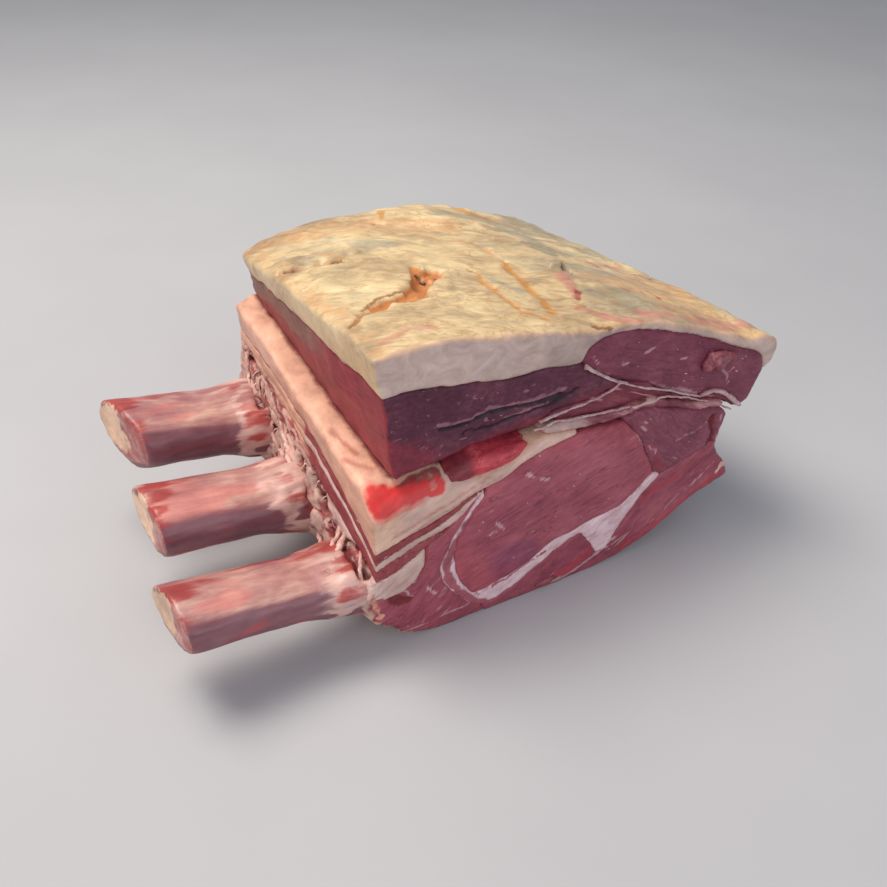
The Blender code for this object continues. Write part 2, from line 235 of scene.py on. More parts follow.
# ---------------------------------------------------------------- meshes
class Surface:
    """A fine closed mesh that is shaped and painted with arrays."""

    def __init__(self, mesh: bpy.types.Mesh) -> None:
        """Read the mesh's vertices and edges.

        Args:
            mesh: The fine mesh to work on.
        """
        self.mesh = mesh
        count = len(mesh.vertices)
        points = np.empty(count * 3, np.float32)
        mesh.vertices.foreach_get("co", points)
        self.points = points.reshape(-1, 3).astype(float)
        edges = np.empty(len(mesh.edges) * 2, np.int32)
        mesh.edges.foreach_get("vertices", edges)
        self.edges = edges.reshape(-1, 2)
        self.degree = np.bincount(self.edges.ravel(), minlength=count).astype(float)
        self.masks: dict[Paint, Array] = {}

    @property
    def mm(self) -> Array:
        """Positions in millimetres."""
        return self.points / MM

    def store(self) -> None:
        """Write the positions back to the mesh."""
        self.mesh.vertices.foreach_set("co", self.points.astype(np.float32).ravel())
        self.mesh.update()

    def normals(self) -> Array:
        """Outward unit normals at the vertices.

        Returns:
            N by 3 unit vectors.
        """
        self.store()
        out = np.empty(len(self.points) * 3, np.float32)
        self.mesh.vertex_normals.foreach_get("vector", out)
        return out.reshape(-1, 3).astype(float)

    def facing(self, face: Face, low: float = 0.45, high: float = 0.75) -> Array:
        """1 where the surface faces that way, 0 where it doesn't."""
        return smoothstep(low, high, self.normals() @ np.array(face.value[1]))

    def flat(self, face: Face, ragged: float = 0.0, seed: int = 5) -> Array:
        """Positions in mm in the plane of a face, shaken by a ragged amount.

        Args:
            face: The face whose plane is used.
            ragged: How far the positions are shaken, mm.
            seed: Picks the shake.

        Returns:
            N by 2 positions in mm.
        """
        first, second = face.value[0]
        flat = self.mm[:, (first, second)]
        if ragged:
            flat[:, 0] += ragged * cloud(self.points, 5.0, seed, 2)
            flat[:, 1] += ragged * cloud(self.points, 5.0, seed + 9, 2)
        return flat

    def spread(self, values: Array, times: int = 1) -> Array:
        """Average each vertex's value with its neighbours'.

        Args:
            values: One value or vector for each vertex.
            times: How many times it is repeated.

        Returns:
            The averaged values.
        """
        first, second = self.edges[:, 0], self.edges[:, 1]
        flat = values.reshape(len(self.points), -1)
        for _ in range(times):
            total = np.empty_like(flat)
            for k in range(flat.shape[1]):
                total[:, k] = (np.bincount(first, flat[second, k], len(flat))
                               + np.bincount(second, flat[first, k], len(flat)))
            flat = total / self.degree[:, None]
        return flat.reshape(values.shape)

    def smooth(self, times: int, weight: Array | float = 1.0) -> None:
        """Relax the surface; weight says how much each vertex follows.

        Args:
            times: How many passes.
            weight: How much each vertex follows, 0 to 1.
        """
        hold = np.broadcast_to(np.asarray(weight, float), (len(self.points),))[:, None]
        for _ in range(times):
            self.points += (self.spread(self.points) - self.points) * hold

    def flatness(self, reach: int = 3) -> Array:
        """1 on flat or gently curved areas, 0 along sharp edges."""
        mean = self.spread(self.normals(), reach)
        return smoothstep(0.90, 0.985, np.linalg.norm(mean, axis=1))

    def push(self, offset: Array) -> None:
        """Move vertices along their normals by an offset in mm."""
        self.points += self.normals() * (offset * MM)[:, None]

    def shift(self, offset: Array) -> None:
        """Move vertices by vectors in mm."""
        self.points += offset * MM

    def paint(self, mask: Paint, values: Array) -> None:
        """Add paint to a mask, keeping the stronger of old and new."""
        old = self.masks.get(mask)
        self.masks[mask] = values if old is None else np.maximum(old, values)

    def finish(self) -> None:
        """Keep the surface on the floor, store positions and masks and shade it smooth."""
        self.points[:, 2] = np.maximum(self.points[:, 2], 0.0)
        self.store()
        for mask, values in self.masks.items():
            layer = self.mesh.attributes.new(mask.value, "FLOAT", "POINT")
            layer.data.foreach_set("value", np.clip(values, 0.0, 1.0).astype(np.float32))
        self.mesh.shade_smooth()


@dataclass(frozen=True)
class Mark:
    """A painted or carved mark along a route on one face."""

    face: Face
    route: Route
    width: tuple[float, float]      # half width at the route's start and end, mm
    mask: Paint | None = None
    strength: float = 1.0
    depth: float = 0.0              # mm, below 0 carves and above 0 raises
    ragged: float = 0.8             # mm
    soft: float = 0.6               # share of the width that fades

    def apply(self, surface: Surface) -> None:
        """Carve and paint the mark on a surface.

        Args:
            surface: The surface to work on.
        """
        flat = surface.flat(self.face, self.ragged)
        distance, share = route_distance(flat, self.route)
        width = self.width[0] + (self.width[1] - self.width[0]) * share
        width *= 1.0 + WIDTH_WANDER * cloud(surface.points, 6.5, 61 + len(self.route), 3)
        cover = 1.0 - smoothstep(1.0 - self.soft, 1.0, distance / width)
        cover *= surface.facing(self.face, 0.25, 0.6)
        cover *= 1.0 - MARK_FADE * smoothstep(0.0, 0.6, cloud(surface.points, 4.5, 67, 2))
        if self.mask:
            surface.paint(self.mask, cover * self.strength)
        if self.depth:
            surface.push(cover * self.depth)


def link(name: str, mesh: bpy.types.Mesh) -> bpy.types.Object:
    """Put a mesh in the scene as an object at the origin.

    Args:
        name: The object's name.
        mesh: Its mesh.

    Returns:
        The new object.
    """
    item = bpy.data.objects.new(name, mesh)
    bpy.context.scene.collection.objects.link(item)
    return item


def evaluated(item: bpy.types.Object) -> bpy.types.Mesh:
    """The mesh that an object's modifiers make."""
    graph = bpy.context.evaluated_depsgraph_get()
    return bpy.data.meshes.new_from_object(item.evaluated_get(graph))


def refined(name: str, work: bmesh.types.BMesh, voxel: float) -> Surface:
    """Even fine surface of a rough closed shape.

    Args:
        name: Name of the new mesh.
        work: The rough shape, which is used up.
        voxel: Mesh size in mm.

    Returns:
        The new surface.
    """
    rough = bpy.data.meshes.new(name + "_rough")
    work.to_mesh(rough)
    work.free()
    carrier = link(name + "_rough", rough)
    remesh = carrier.modifiers.new("fine", "REMESH")
    remesh.mode = "VOXEL"
    remesh.voxel_size = voxel * MM
    fine = evaluated(carrier)
    fine.name = name
    bpy.data.objects.remove(carrier)
    bpy.data.meshes.remove(rough)
    return Surface(fine)


def solid_copy(node: str) -> bmesh.types.BMesh:
    """Copy of a CAD solid with its doubled vertices merged; the solid stays as it is.

    Args:
        node: Name of the CAD node.

    Returns:
        The merged copy.
    """
    work = bmesh.new()
    work.from_mesh(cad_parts[node].data)
    bmesh.ops.remove_doubles(work, verts=work.verts[:], dist=1e-6)
    return work


# ---------------------------------------------------------------- materials
class Shader:
    """Small helper that lays out one material's nodes."""

    def __init__(self, name: str, roughness: float, coat: float = 0.0) -> None:
        """Start a material with a Principled shader.

        Args:
            name: The material's name.
            roughness: Roughness of the surface.
            coat: Weight of the moist coat.
        """
        self.material = bpy.data.materials.new(name)
        self.material.use_nodes = True
        self.tree = self.material.node_tree
        self.main = self.tree.nodes["Principled BSDF"]
        self.main.inputs["Roughness"].default_value = roughness
        self.main.inputs["Coat Weight"].default_value = coat
        self.main.inputs["Coat Roughness"].default_value = 0.25
        self.place = self.tree.nodes.new("ShaderNodeTexCoord").outputs["Object"]

    def node(self, kind: str) -> bpy.types.Node:
        """Add a node."""
        return self.tree.nodes.new(kind)

    def join(self, source: Socket, target: Socket) -> None:
        """Connect two sockets."""
        self.tree.links.new(source, target)

    def stretched(self, turn: Point, scale: Point) -> Socket:
        """Object coordinates turned (degrees) and scaled, for grain.

        Args:
            turn: Turn about each axis, degrees.
            scale: Stretch along each axis.

        Returns:
            The turned and stretched space.
        """
        mapping = self.node("ShaderNodeMapping")
        mapping.vector_type = "TEXTURE"
        mapping.inputs["Rotation"].default_value = [math.radians(a) for a in turn]
        mapping.inputs["Scale"].default_value = scale
        self.join(self.place, mapping.inputs["Vector"])
        return mapping.outputs["Vector"]

    def noise(self, scale: float, detail: float = 3.0, rough: float = 0.55,
              vector: Socket | None = None, twist: float = 0.0
              ) -> Socket:
        """Noise value from 0 to 1.

        Args:
            scale: Features per metre.
            detail: Octaves of detail.
            rough: Strength of the detail.
            vector: Space to use, or none for plain object coordinates.
            twist: How far the pattern is distorted.

        Returns:
            The noise value.
        """
        tex = self.node("ShaderNodeTexNoise")
        tex.inputs["Scale"].default_value = scale
        tex.inputs["Detail"].default_value = detail
        tex.inputs["Roughness"].default_value = rough
        tex.inputs["Distortion"].default_value = twist
        self.join(vector or self.place, tex.inputs["Vector"])
        return tex.outputs["Fac"]

    def ramp(self, value: Socket, stops: Sequence[tuple[float, Colour]]
             ) -> Socket:
        """Colour from a value by a ramp of (place, colour) stops.

        Args:
            value: The value that picks the colour.
            stops: Places from 0 to 1 with their colours.

        Returns:
            The colour.
        """
        ramp = self.node("ShaderNodeValToRGB")
        band = ramp.color_ramp
        while len(band.elements) < len(stops):
            band.elements.new(0.5)
        for element, (place, colour) in zip(band.elements, stops):
            element.position = place
            element.color = (*colour, 1.0)
        self.join(value, ramp.inputs["Fac"])
        return ramp.outputs["Color"]

    def window(self, value: Socket, low: float, high: float
               ) -> Socket:
        """Ease a value from 0 at low to 1 at high.

        Args:
            value: The value to ease.
            low: Where the result is 0.
            high: Where the result is 1.

        Returns:
            The eased value.
        """
        span = self.node("ShaderNodeMapRange")
        span.interpolation_type = "SMOOTHSTEP"
        span.inputs["From Min"].default_value = low
        span.inputs["From Max"].default_value = high
        self.join(value, span.inputs["Value"])
        return span.outputs["Result"]

    def mask(self, mask: Paint) -> Socket:
        """A painted mask of the piece, by attribute.

        Args:
            mask: The mask to read.

        Returns:
            The mask's value.
        """
        layer = self.node("ShaderNodeAttribute")
        layer.attribute_name = mask.value
        return layer.outputs["Fac"]

    def calc(self, kind: str, first: Socket, second: Socket | float
             ) -> Socket:
        """One step of arithmetic.

        Args:
            kind: The operation.
            first: Its first value.
            second: Its second value, a socket or a number.

        Returns:
            The result.
        """
        step = self.node("ShaderNodeMath")
        step.operation = kind
        self.join(first, step.inputs[0])
        if isinstance(second, (int, float)):
            step.inputs[1].default_value = second
        else:
            self.join(second, step.inputs[1])
        return step.outputs["Value"]

    def blend(self, fac: Socket | float, under: Socket | Colour,
              over: Socket | Colour, kind: str = "MIX") -> Socket:
        """Mix two colours.

        Args:
            fac: Share of the upper colour.
            under: The lower colour.
            over: The upper colour.
            kind: How they blend.

        Returns:
            The mixed colour.
        """
        mix = self.node("ShaderNodeMix")
        mix.data_type = "RGBA"
        mix.blend_type = kind
        for value, socket in ((fac, mix.inputs[0]), (under, mix.inputs[6]), (over, mix.inputs[7])):
            if isinstance(value, Socket):
                self.join(value, socket)
            elif isinstance(value, tuple):
                socket.default_value = (*value, 1.0)
            else:
                socket.default_value = value
        return mix.outputs[2]

    def relief(self, heights: Iterable[tuple[Socket, float]]) -> None:
        """Add bumps, each a height value with its depth in mm.

        Args:
            heights: Height values with their depths in mm.
        """
        last = None
        for height, depth in heights:
            bump = self.node("ShaderNodeBump")
            bump.inputs["Distance"].default_value = depth * MM
            bump.inputs["Strength"].default_value = 1.0
            self.join(height, bump.inputs["Height"])
            if last is not None:
                self.join(last, bump.inputs["Normal"])
            last = bump.outputs["Normal"]
        self.join(last, self.main.inputs["Normal"])

    def done(self, colour: Socket) -> bpy.types.Material:
        """Connect the colour and return the material."""
        self.join(colour, self.main.inputs["Base Color"])
        return self.material


@dataclass(frozen=True)
class Tint:
    """A painted colour: the mask that places it, its colour and how ragged its edge is."""

    mask: Paint
    colour: Colour
    ragged: float = 0.0
    scale: float = 380.0
    strength: float = 1.0

    def lay(self, s: Shader, under: Socket, tone: Socket,
            space: Socket) -> Socket:
        """Mix this colour over another.

        Args:
            s: The material being built.
            under: The colour below.
            tone: The tissue's tone, which also shades this colour.
            space: The space that the tissue's grain runs in.

        Returns:
            The mixed colour.
        """
        painted = s.mask(self.mask)
        cover = painted
        if self.ragged:
            shake = s.calc("SUBTRACT", s.noise(self.scale, 5.0, 0.68, space, 0.4), 0.5)
            cover = s.calc("ADD", cover, s.calc("MULTIPLY", shake, RAGGED_REACH * self.ragged))
            cover = s.calc("MULTIPLY", s.window(cover, *RAGGED_EDGE),
                           s.window(painted, 0.0, 0.2))
        cover = s.calc("MULTIPLY", cover, self.strength)
        dark = tuple(TONE_DARK * c for c in self.colour)
        light = tuple(min(TONE_LIGHT * c, 1.0) for c in self.colour)
        over = s.ramp(tone, tuple(zip(TONE_STOPS, (dark, self.colour, light))))
        return s.blend(cover, under, over)


@dataclass(frozen=True)
class Finish:
    """A tissue's finish: a three-colour tone with grain, and painted tints over it."""

    name: str
    dark: Colour
    mid: Colour
    light: Colour
    turn: Point = (0.0, 0.0, 0.0)
    stretch: Point = (1.0, 1.0, 1.0)
    grain: float = 420.0
    broad: float = 55.0
    roughness: float = 0.5
    coat: float = 0.05
    gloss: float = 0.32
    soft: float = 0.0
    bump: float = 0.3
    twist: float = 0.3
    tints: tuple[Tint, ...] = ()

    def pattern(self, s: Shader) -> tuple[Socket, Socket]:
        """The tone from 0 to 1, and the space that the grain runs in.

        Args:
            s: The material being built.

        Returns:
            The tone, and the space.
        """
        space = s.stretched(self.turn, self.stretch)
        grain = s.noise(self.grain, 5.0, 0.66, space, twist=self.twist)
        broad = s.noise(self.broad, 3.0, 0.55, twist=0.5)
        tone = s.calc("ADD", s.calc("MULTIPLY", grain, 0.5), s.calc("MULTIPLY", broad, 0.5))
        return tone, space

    def dress(self, s: Shader, colour: Socket, space: Socket
              ) -> Socket:
        """Detail that a kind of tissue adds to its base colour."""
        return colour

    def build(self) -> bpy.types.Material:
        """Lay out the nodes and return the material.

        Returns:
            The material.
        """
        s = Shader(self.name, self.roughness, self.coat)
        s.main.inputs["Specular IOR Level"].default_value = self.gloss
        if self.soft:
            s.main.inputs["Subsurface Weight"].default_value = self.soft
            s.main.inputs["Subsurface Scale"].default_value = 0.004
        tone, space = self.pattern(s)
        colour = s.ramp(tone, tuple(zip(TONE_STOPS, (self.dark, self.mid, self.light))))
        colour = self.dress(s, colour, space)
        for tint in self.tints:
            colour = tint.lay(s, colour, tone, space)
        s.relief(((s.noise(self.grain * 0.6, 4.0, 0.6, space), self.bump),
                  (s.noise(FINE_RELIEF[0], 2.0), FINE_RELIEF[1])))
        return s.done(colour)


@dataclass(frozen=True)
class LeanFinish(Finish):
    """Raw lean meat: fibres with pale flecks and threads between them."""

    fleck: float = 0.66
    fleck_colour: Colour = (0.48, 0.25, 0.25)
    vein: Colour = (0.08, 0.012, 0.024)

    def dress(self, s: Shader, colour: Socket, space: Socket
              ) -> Socket:
        """Add dark lines between the bundles, then pale flecks.

        Args:
            s: The material being built.
            colour: The base colour so far.
            space: The space that the grain runs in.

        Returns:
            The colour with its detail.
        """
        lines = s.noise(self.grain * 0.35, 3.0, 0.55, space, twist=0.8)
        gap = s.calc("ABSOLUTE", s.calc("SUBTRACT", lines, 0.5), 0.0)
        colour = s.blend(s.calc("MULTIPLY", s.window(gap, 0.022, 0.0), 0.45), colour, self.vein)
        spots = s.noise(self.grain * 0.62, 2.0, 0.5, space, twist=0.4)
        return s.blend(s.window(spots, self.fleck, self.fleck + 0.06), colour, self.fleck_colour)


@dataclass(frozen=True)
class FatFinish(Finish):
    """Fat: soft streaks, with fine darker creases."""

    crease: Colour = (0.40, 0.22, 0.10)
    creases: float = 0.3

    def dress(self, s: Shader, colour: Socket, space: Socket
              ) -> Socket:
        """Add thin creases that follow the streaks.

        Args:
            s: The material being built.
            colour: The base colour so far.
            space: The space that the grain runs in.

        Returns:
            The colour with its detail.
        """
        lines = s.noise(self.grain * 0.3, 4.0, 0.6, space, twist=1.2)
        gap = s.calc("ABSOLUTE", s.calc("SUBTRACT", lines, 0.5), 0.0)
        return s.blend(s.calc("MULTIPLY", s.window(gap, 0.02, 0.0), self.creases), colour,
                       self.crease)


# ---- colours and tints shared by the finishes ----
WHITE_CUT = (0.57, 0.425, 0.405)
BLOOD = (0.66, 0.036, 0.034)
# dark red painted shade for carved pockets and holes
RECESS_SHADE = (0.20, 0.022, 0.026)
GRISTLE = (0.62, 0.41, 0.345)
BAND_FAT = (0.67, 0.365, 0.265)
# near-black painted shade for holes
HOLE_SHADE = (0.06, 0.018, 0.014)
RAW = (0.30, 0.045, 0.050)
FATTY_TINT = Tint(Paint.FATTY, BAND_FAT, 0.6, 260.0)
TORN_TINT = Tint(Paint.RAW, RAW, 0.9, 300.0, 0.85)
GRISTLE_TINT = Tint(Paint.GRISTLE, GRISTLE, 0.8, 330.0, 0.9)
# painted shade in the carved pockets
POCKET_SHADE_TINT = Tint(Paint.POCKET, RECESS_SHADE, 0.5, 360.0, 0.95)

BACK_FAT = FatFinish(
    "back_fat", (0.42, 0.28, 0.155), (0.70, 0.51, 0.275), (0.90, 0.72, 0.41),
    turn=(0.0, 0.0, -20.0), stretch=(2.1, 1.0, 1.2), grain=150.0, broad=30.0, twist=1.4,
    roughness=0.42, coat=0.12, gloss=0.4, soft=0.1, bump=0.5, creases=0.45,
    # green: grey-green patches, and painted shade on the right slope
    tints=(Tint(Paint.GREEN, (0.34, 0.30, 0.21), 0.7, 170.0, 0.7),
           Tint(Paint.TAN, (0.64, 0.33, 0.14), 0.85, 300.0, 0.6),
           Tint(Paint.PINK, (0.62, 0.25, 0.19), 0.7, 240.0, 0.7),
           Tint(Paint.AMBER, (0.60, 0.27, 0.055), 0.9, 420.0, 0.85),
           Tint(Paint.SIDE, (0.58, 0.44, 0.26), 0.2, 200.0, 0.75),
           Tint(Paint.WHITE, WHITE_CUT, 0.2, 120.0, 0.85),
           Tint(Paint.RIM, (0.70, 0.44, 0.28), 0.7, 300.0, 0.7),
           Tint(Paint.BLOOD, (0.36, 0.05, 0.035), 0.4, 600.0, 0.85),
           Tint(Paint.PIT, (0.56, 0.20, 0.055), 0.5, 420.0, 0.95),
           # painted shade in the carved creases
           Tint(Paint.CREASE, (0.30, 0.11, 0.04), 0.4, 700.0, 0.85),
           # painted shade in the carved holes
           Tint(Paint.HOLE, HOLE_SHADE, 0.6, 600.0, 0.9)))
CAP_LEAN = LeanFinish(
    "cap_lean", (0.066, 0.012, 0.028), (0.112, 0.022, 0.048), (0.185, 0.050, 0.082),
    turn=(-13.0, 0.0, 0.0), stretch=(1.5, 5.0, 1.0), grain=620.0,
    fleck_colour=(0.28, 0.11, 0.14),
    # the crimson rib side is partly painted light, the dark purple base partly painted shade
    tints=(Tint(Paint.SIDE, (0.30, 0.032, 0.047), 0.7, 320.0, 0.9),
           Tint(Paint.BROWN, (0.22, 0.105, 0.075), 0.6, 260.0, 0.85),
           Tint(Paint.UNDER, (0.25, 0.028, 0.048), 0.8, 160.0, 0.75),
           Tint(Paint.MEMBRANE, (0.38, 0.17, 0.21), 0.6, 700.0, 0.8),
           # near-black painted shade in the carved creases between the muscles
           Tint(Paint.CREASE, (0.02, 0.006, 0.014), 0.3, 600.0, 0.9)))
OVAL_LEAN = LeanFinish(
    "oval_lean", (0.155, 0.029, 0.058), (0.220, 0.044, 0.080), (0.29, 0.075, 0.115),
    turn=(0.0, 20.0, 0.0), stretch=(3.0, 2.0, 1.0), grain=520.0, fleck=0.72,
    tints=(Tint(Paint.MEMBRANE, (0.54, 0.30, 0.33), 0.6, 700.0, 0.85),))
FLAP_LEAN = LeanFinish(
    "flap_lean", (0.12, 0.018, 0.034), (0.210, 0.036, 0.058), (0.34, 0.085, 0.105),
    turn=(0.0, 24.0, 0.0), stretch=(6.0, 4.0, 1.0), grain=460.0, fleck=0.60,
    fleck_colour=(0.46, 0.20, 0.22))
EYE_LEAN = LeanFinish(
    "eye_lean", (0.295, 0.062, 0.090), (0.385, 0.090, 0.125), (0.48, 0.138, 0.172),
    turn=(0.0, -17.0, 0.0), stretch=(5.0, 2.0, 1.0), grain=560.0, fleck=0.70,
    tints=(Tint(Paint.VIOLET, (0.28, 0.066, 0.140), 0.3, 120.0, 0.6),
           Tint(Paint.RED, (0.40, 0.070, 0.092), 0.4, 200.0, 0.6),
           Tint(Paint.MEMBRANE, (0.62, 0.36, 0.38), 0.6, 800.0, 0.9)))
SPINALIS_LEAN = LeanFinish(
    "spinalis_lean", (0.175, 0.037, 0.064), (0.250, 0.058, 0.095), (0.34, 0.100, 0.140),
    turn=(0.0, 40.0, 0.0), stretch=(4.0, 2.0, 1.0), grain=560.0,
    tints=(Tint(Paint.RED, (0.28, 0.035, 0.050), 0.6, 200.0, 0.8),
           Tint(Paint.MEMBRANE, (0.52, 0.28, 0.32), 0.6, 800.0, 0.85),
           # painted shade in the carved hole
           Tint(Paint.HOLE, RECESS_SHADE, 0.3, 400.0)))
CHAIN_LEAN = LeanFinish(
    "chain_lean", (0.25, 0.046, 0.074), (0.340, 0.072, 0.105), (0.44, 0.118, 0.150),
    turn=(0.0, -32.0, 0.0), stretch=(4.0, 2.0, 1.0), grain=520.0,
    tints=(Tint(Paint.RED, (0.45, 0.052, 0.076), 0.7, 200.0, 0.85),
           Tint(Paint.MEMBRANE, (0.62, 0.38, 0.40), 0.6, 800.0, 0.9)))
SIDE_LEAN = LeanFinish(
    "side_lean", (0.27, 0.050, 0.078), (0.370, 0.078, 0.112), (0.46, 0.125, 0.152),
    turn=(0.0, -40.0, 0.0), stretch=(4.0, 2.0, 1.0), grain=520.0,
    tints=(Tint(Paint.RAW, RAW, 0.5, 240.0, 0.9), GRISTLE_TINT,
           Tint(Paint.MEMBRANE, (0.62, 0.38, 0.40), 0.6, 800.0, 0.9), POCKET_SHADE_TINT))
STRIP_LEAN = LeanFinish(
    "strip_lean", (0.22, 0.034, 0.040), (0.31, 0.056, 0.064), (0.40, 0.10, 0.11),
    stretch=(1.0, 5.0, 1.0), grain=560.0,
    tints=(FATTY_TINT, TORN_TINT, GRISTLE_TINT, POCKET_SHADE_TINT))
TONGUE_LEAN = LeanFinish(
    "tongue_lean", (0.38, 0.032, 0.050), (0.64, 0.068, 0.092), (0.80, 0.13, 0.15),
    turn=(0.0, -12.0, 0.0), stretch=(3.0, 2.0, 1.0), grain=480.0, fleck=0.68, coat=0.2,
    fleck_colour=(0.66, 0.28, 0.27),
    tints=(Tint(Paint.SHADE, (0.17, 0.020, 0.032), 0.5, 200.0, 0.8),))
COVER_FAT = FatFinish(
    "cover_fat", (0.58, 0.35, 0.26), (0.76, 0.48, 0.35), (0.88, 0.62, 0.47),
    turn=(0.0, -26.0, 0.0), stretch=(4.0, 3.0, 1.0), grain=300.0, broad=42.0,
    roughness=0.42, coat=0.12, gloss=0.4, soft=0.1, bump=0.25, crease=(0.46, 0.20, 0.15),
    tints=(Tint(Paint.SIDE, BAND_FAT, 0.5, 160.0, 0.85),
           Tint(Paint.WHITE, (0.66, 0.44, 0.38), 0.3, 200.0, 0.8),
           Tint(Paint.SALMON, (0.86, 0.45, 0.31), 0.3, 160.0, 0.7),
           Tint(Paint.BLUSH, (0.74, 0.17, 0.13), 0.7, 260.0, 0.75),
           Tint(Paint.SHADE, (0.24, 0.035, 0.040), 0.6, 220.0, 0.9),
           Tint(Paint.LINE, (0.44, 0.10, 0.08), 0.0, 300.0, 0.9),
           Tint(Paint.BLOOD, BLOOD, 0.9, 170.0)))
FOLD_FAT = FatFinish(
    "fold_fat", (0.17, 0.032, 0.052), (0.30, 0.085, 0.105), (0.62, 0.33, 0.33),
    turn=(0.0, 24.0, 0.0), stretch=(7.0, 4.0, 1.0), grain=300.0, broad=70.0,
    crease=(0.14, 0.03, 0.045), creases=0.6,
    tints=(Tint(Paint.WHITE, (0.66, 0.46, 0.42), 0.6, 200.0, 0.85),
           Tint(Paint.RED, (0.40, 0.075, 0.090), 0.6, 300.0, 0.8)))
LAYER_FAT = FatFinish(
    "layer_fat", (0.48, 0.28, 0.25), (0.65, 0.44, 0.385), (0.78, 0.58, 0.52),
    turn=(0.0, -26.0, 0.0), stretch=(5.0, 5.0, 1.0), grain=380.0, broad=60.0,
    crease=(0.36, 0.12, 0.12), creases=0.4,
    tints=(FATTY_TINT, TORN_TINT, GRISTLE_TINT, POCKET_SHADE_TINT))
SEAM_FAT = FatFinish(
    "seam_fat", (0.60, 0.38, 0.41), (0.80, 0.57, 0.61), (0.90, 0.72, 0.75),
    turn=(0.0, -30.0, 0.0), stretch=(4.0, 3.0, 1.0), grain=420.0, broad=80.0,
    crease=(0.38, 0.13, 0.15), creases=0.35,
    tints=(Tint(Paint.RED, (0.37, 0.082, 0.112), 0.5, 320.0, 0.95),))
BONE_SKIN = FatFinish(
    "bone_skin", (0.32, 0.118, 0.130), (0.49, 0.240, 0.220), (0.71, 0.44, 0.35),
    stretch=(6.0, 1.0, 1.0), grain=190.0, broad=40.0,
    roughness=0.38, coat=0.15, gloss=0.45, soft=0.06, crease=(0.50, 0.16, 0.15),
    tints=(Tint(Paint.BLUSH, (0.60, 0.20, 0.18), 0.9, 150.0, 0.65),
           # painted shade on the side of each rib turned from the light
           Tint(Paint.BELLY, (0.19, 0.066, 0.092), 0.5, 110.0, 0.92),
           Tint(Paint.GRISTLE, (0.74, 0.48, 0.42), 0.9, 190.0, 0.7),
           Tint(Paint.RED, (0.40, 0.045, 0.040), 1.0, 230.0, 0.9),
           Tint(Paint.SAWN, (0.78, 0.50, 0.34), 0.5, 300.0),
           # dark rim; near the sawn end of the shaft it is partly painted shade
           Tint(Paint.RIM, (0.15, 0.020, 0.026), 0.9, 300.0, 0.9)))
TATTER = FatFinish(
    "tatter", (0.50, 0.23, 0.21), (0.70, 0.43, 0.37), (0.84, 0.62, 0.54),
    grain=420.0, broad=160.0, crease=(0.45, 0.10, 0.10), creases=0.5)
MEMBRANE = FatFinish(
    "membrane", (0.42, 0.20, 0.22), (0.60, 0.38, 0.39), (0.74, 0.56, 0.56),
    grain=420.0, broad=120.0, crease=(0.30, 0.08, 0.10), creases=0.5)


# ---------------------------------------------------------------- tissues
@dataclass
class Tissue:
    """One tissue of the roast, made fine from its solid and dressed."""

    node: str
    slot: str
    finish: Finish
    voxel: float = 1.25
    swell: float = 0.62
    relax: int = 10
    wave: float = 0.35
    wave_size: float = 9.0
    seed: int = 1
    wander: bool = True
    marks: tuple[Mark, ...] = ()

    def shape(self, surface: Surface) -> None:
        """Relief and paint of this kind of tissue."""

    def build(self) -> bpy.types.Object:
        """Returns:
            The finished piece.
        """
        surface = refined(self.node + "_flesh", solid_copy(self.node), self.voxel)
        surface.smooth(1)
        surface.smooth(self.relax, surface.flatness())
        surface.push(np.full(len(surface.points), self.swell))
        surface.paint(Paint.NEAR, surface.facing(Face.NEAR, 0.8, 0.95))
        self.shape(surface)
        for mark in self.marks:
            mark.apply(surface)
        surface.push(self.wave * cloud(surface.points, self.wave_size, self.seed, 3))
        if self.wander:
            surface.shift(organic(surface.points))
        surface.finish()
        piece = link(self.node + "_flesh", surface.mesh)
        surface.mesh.materials.clear()
        surface.mesh.materials.append(self.finish.build())
        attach(piece, BODY)
        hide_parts(self.node)
        LOG.info("%s: %d faces", piece.name, len(surface.mesh.polygons))
        return piece


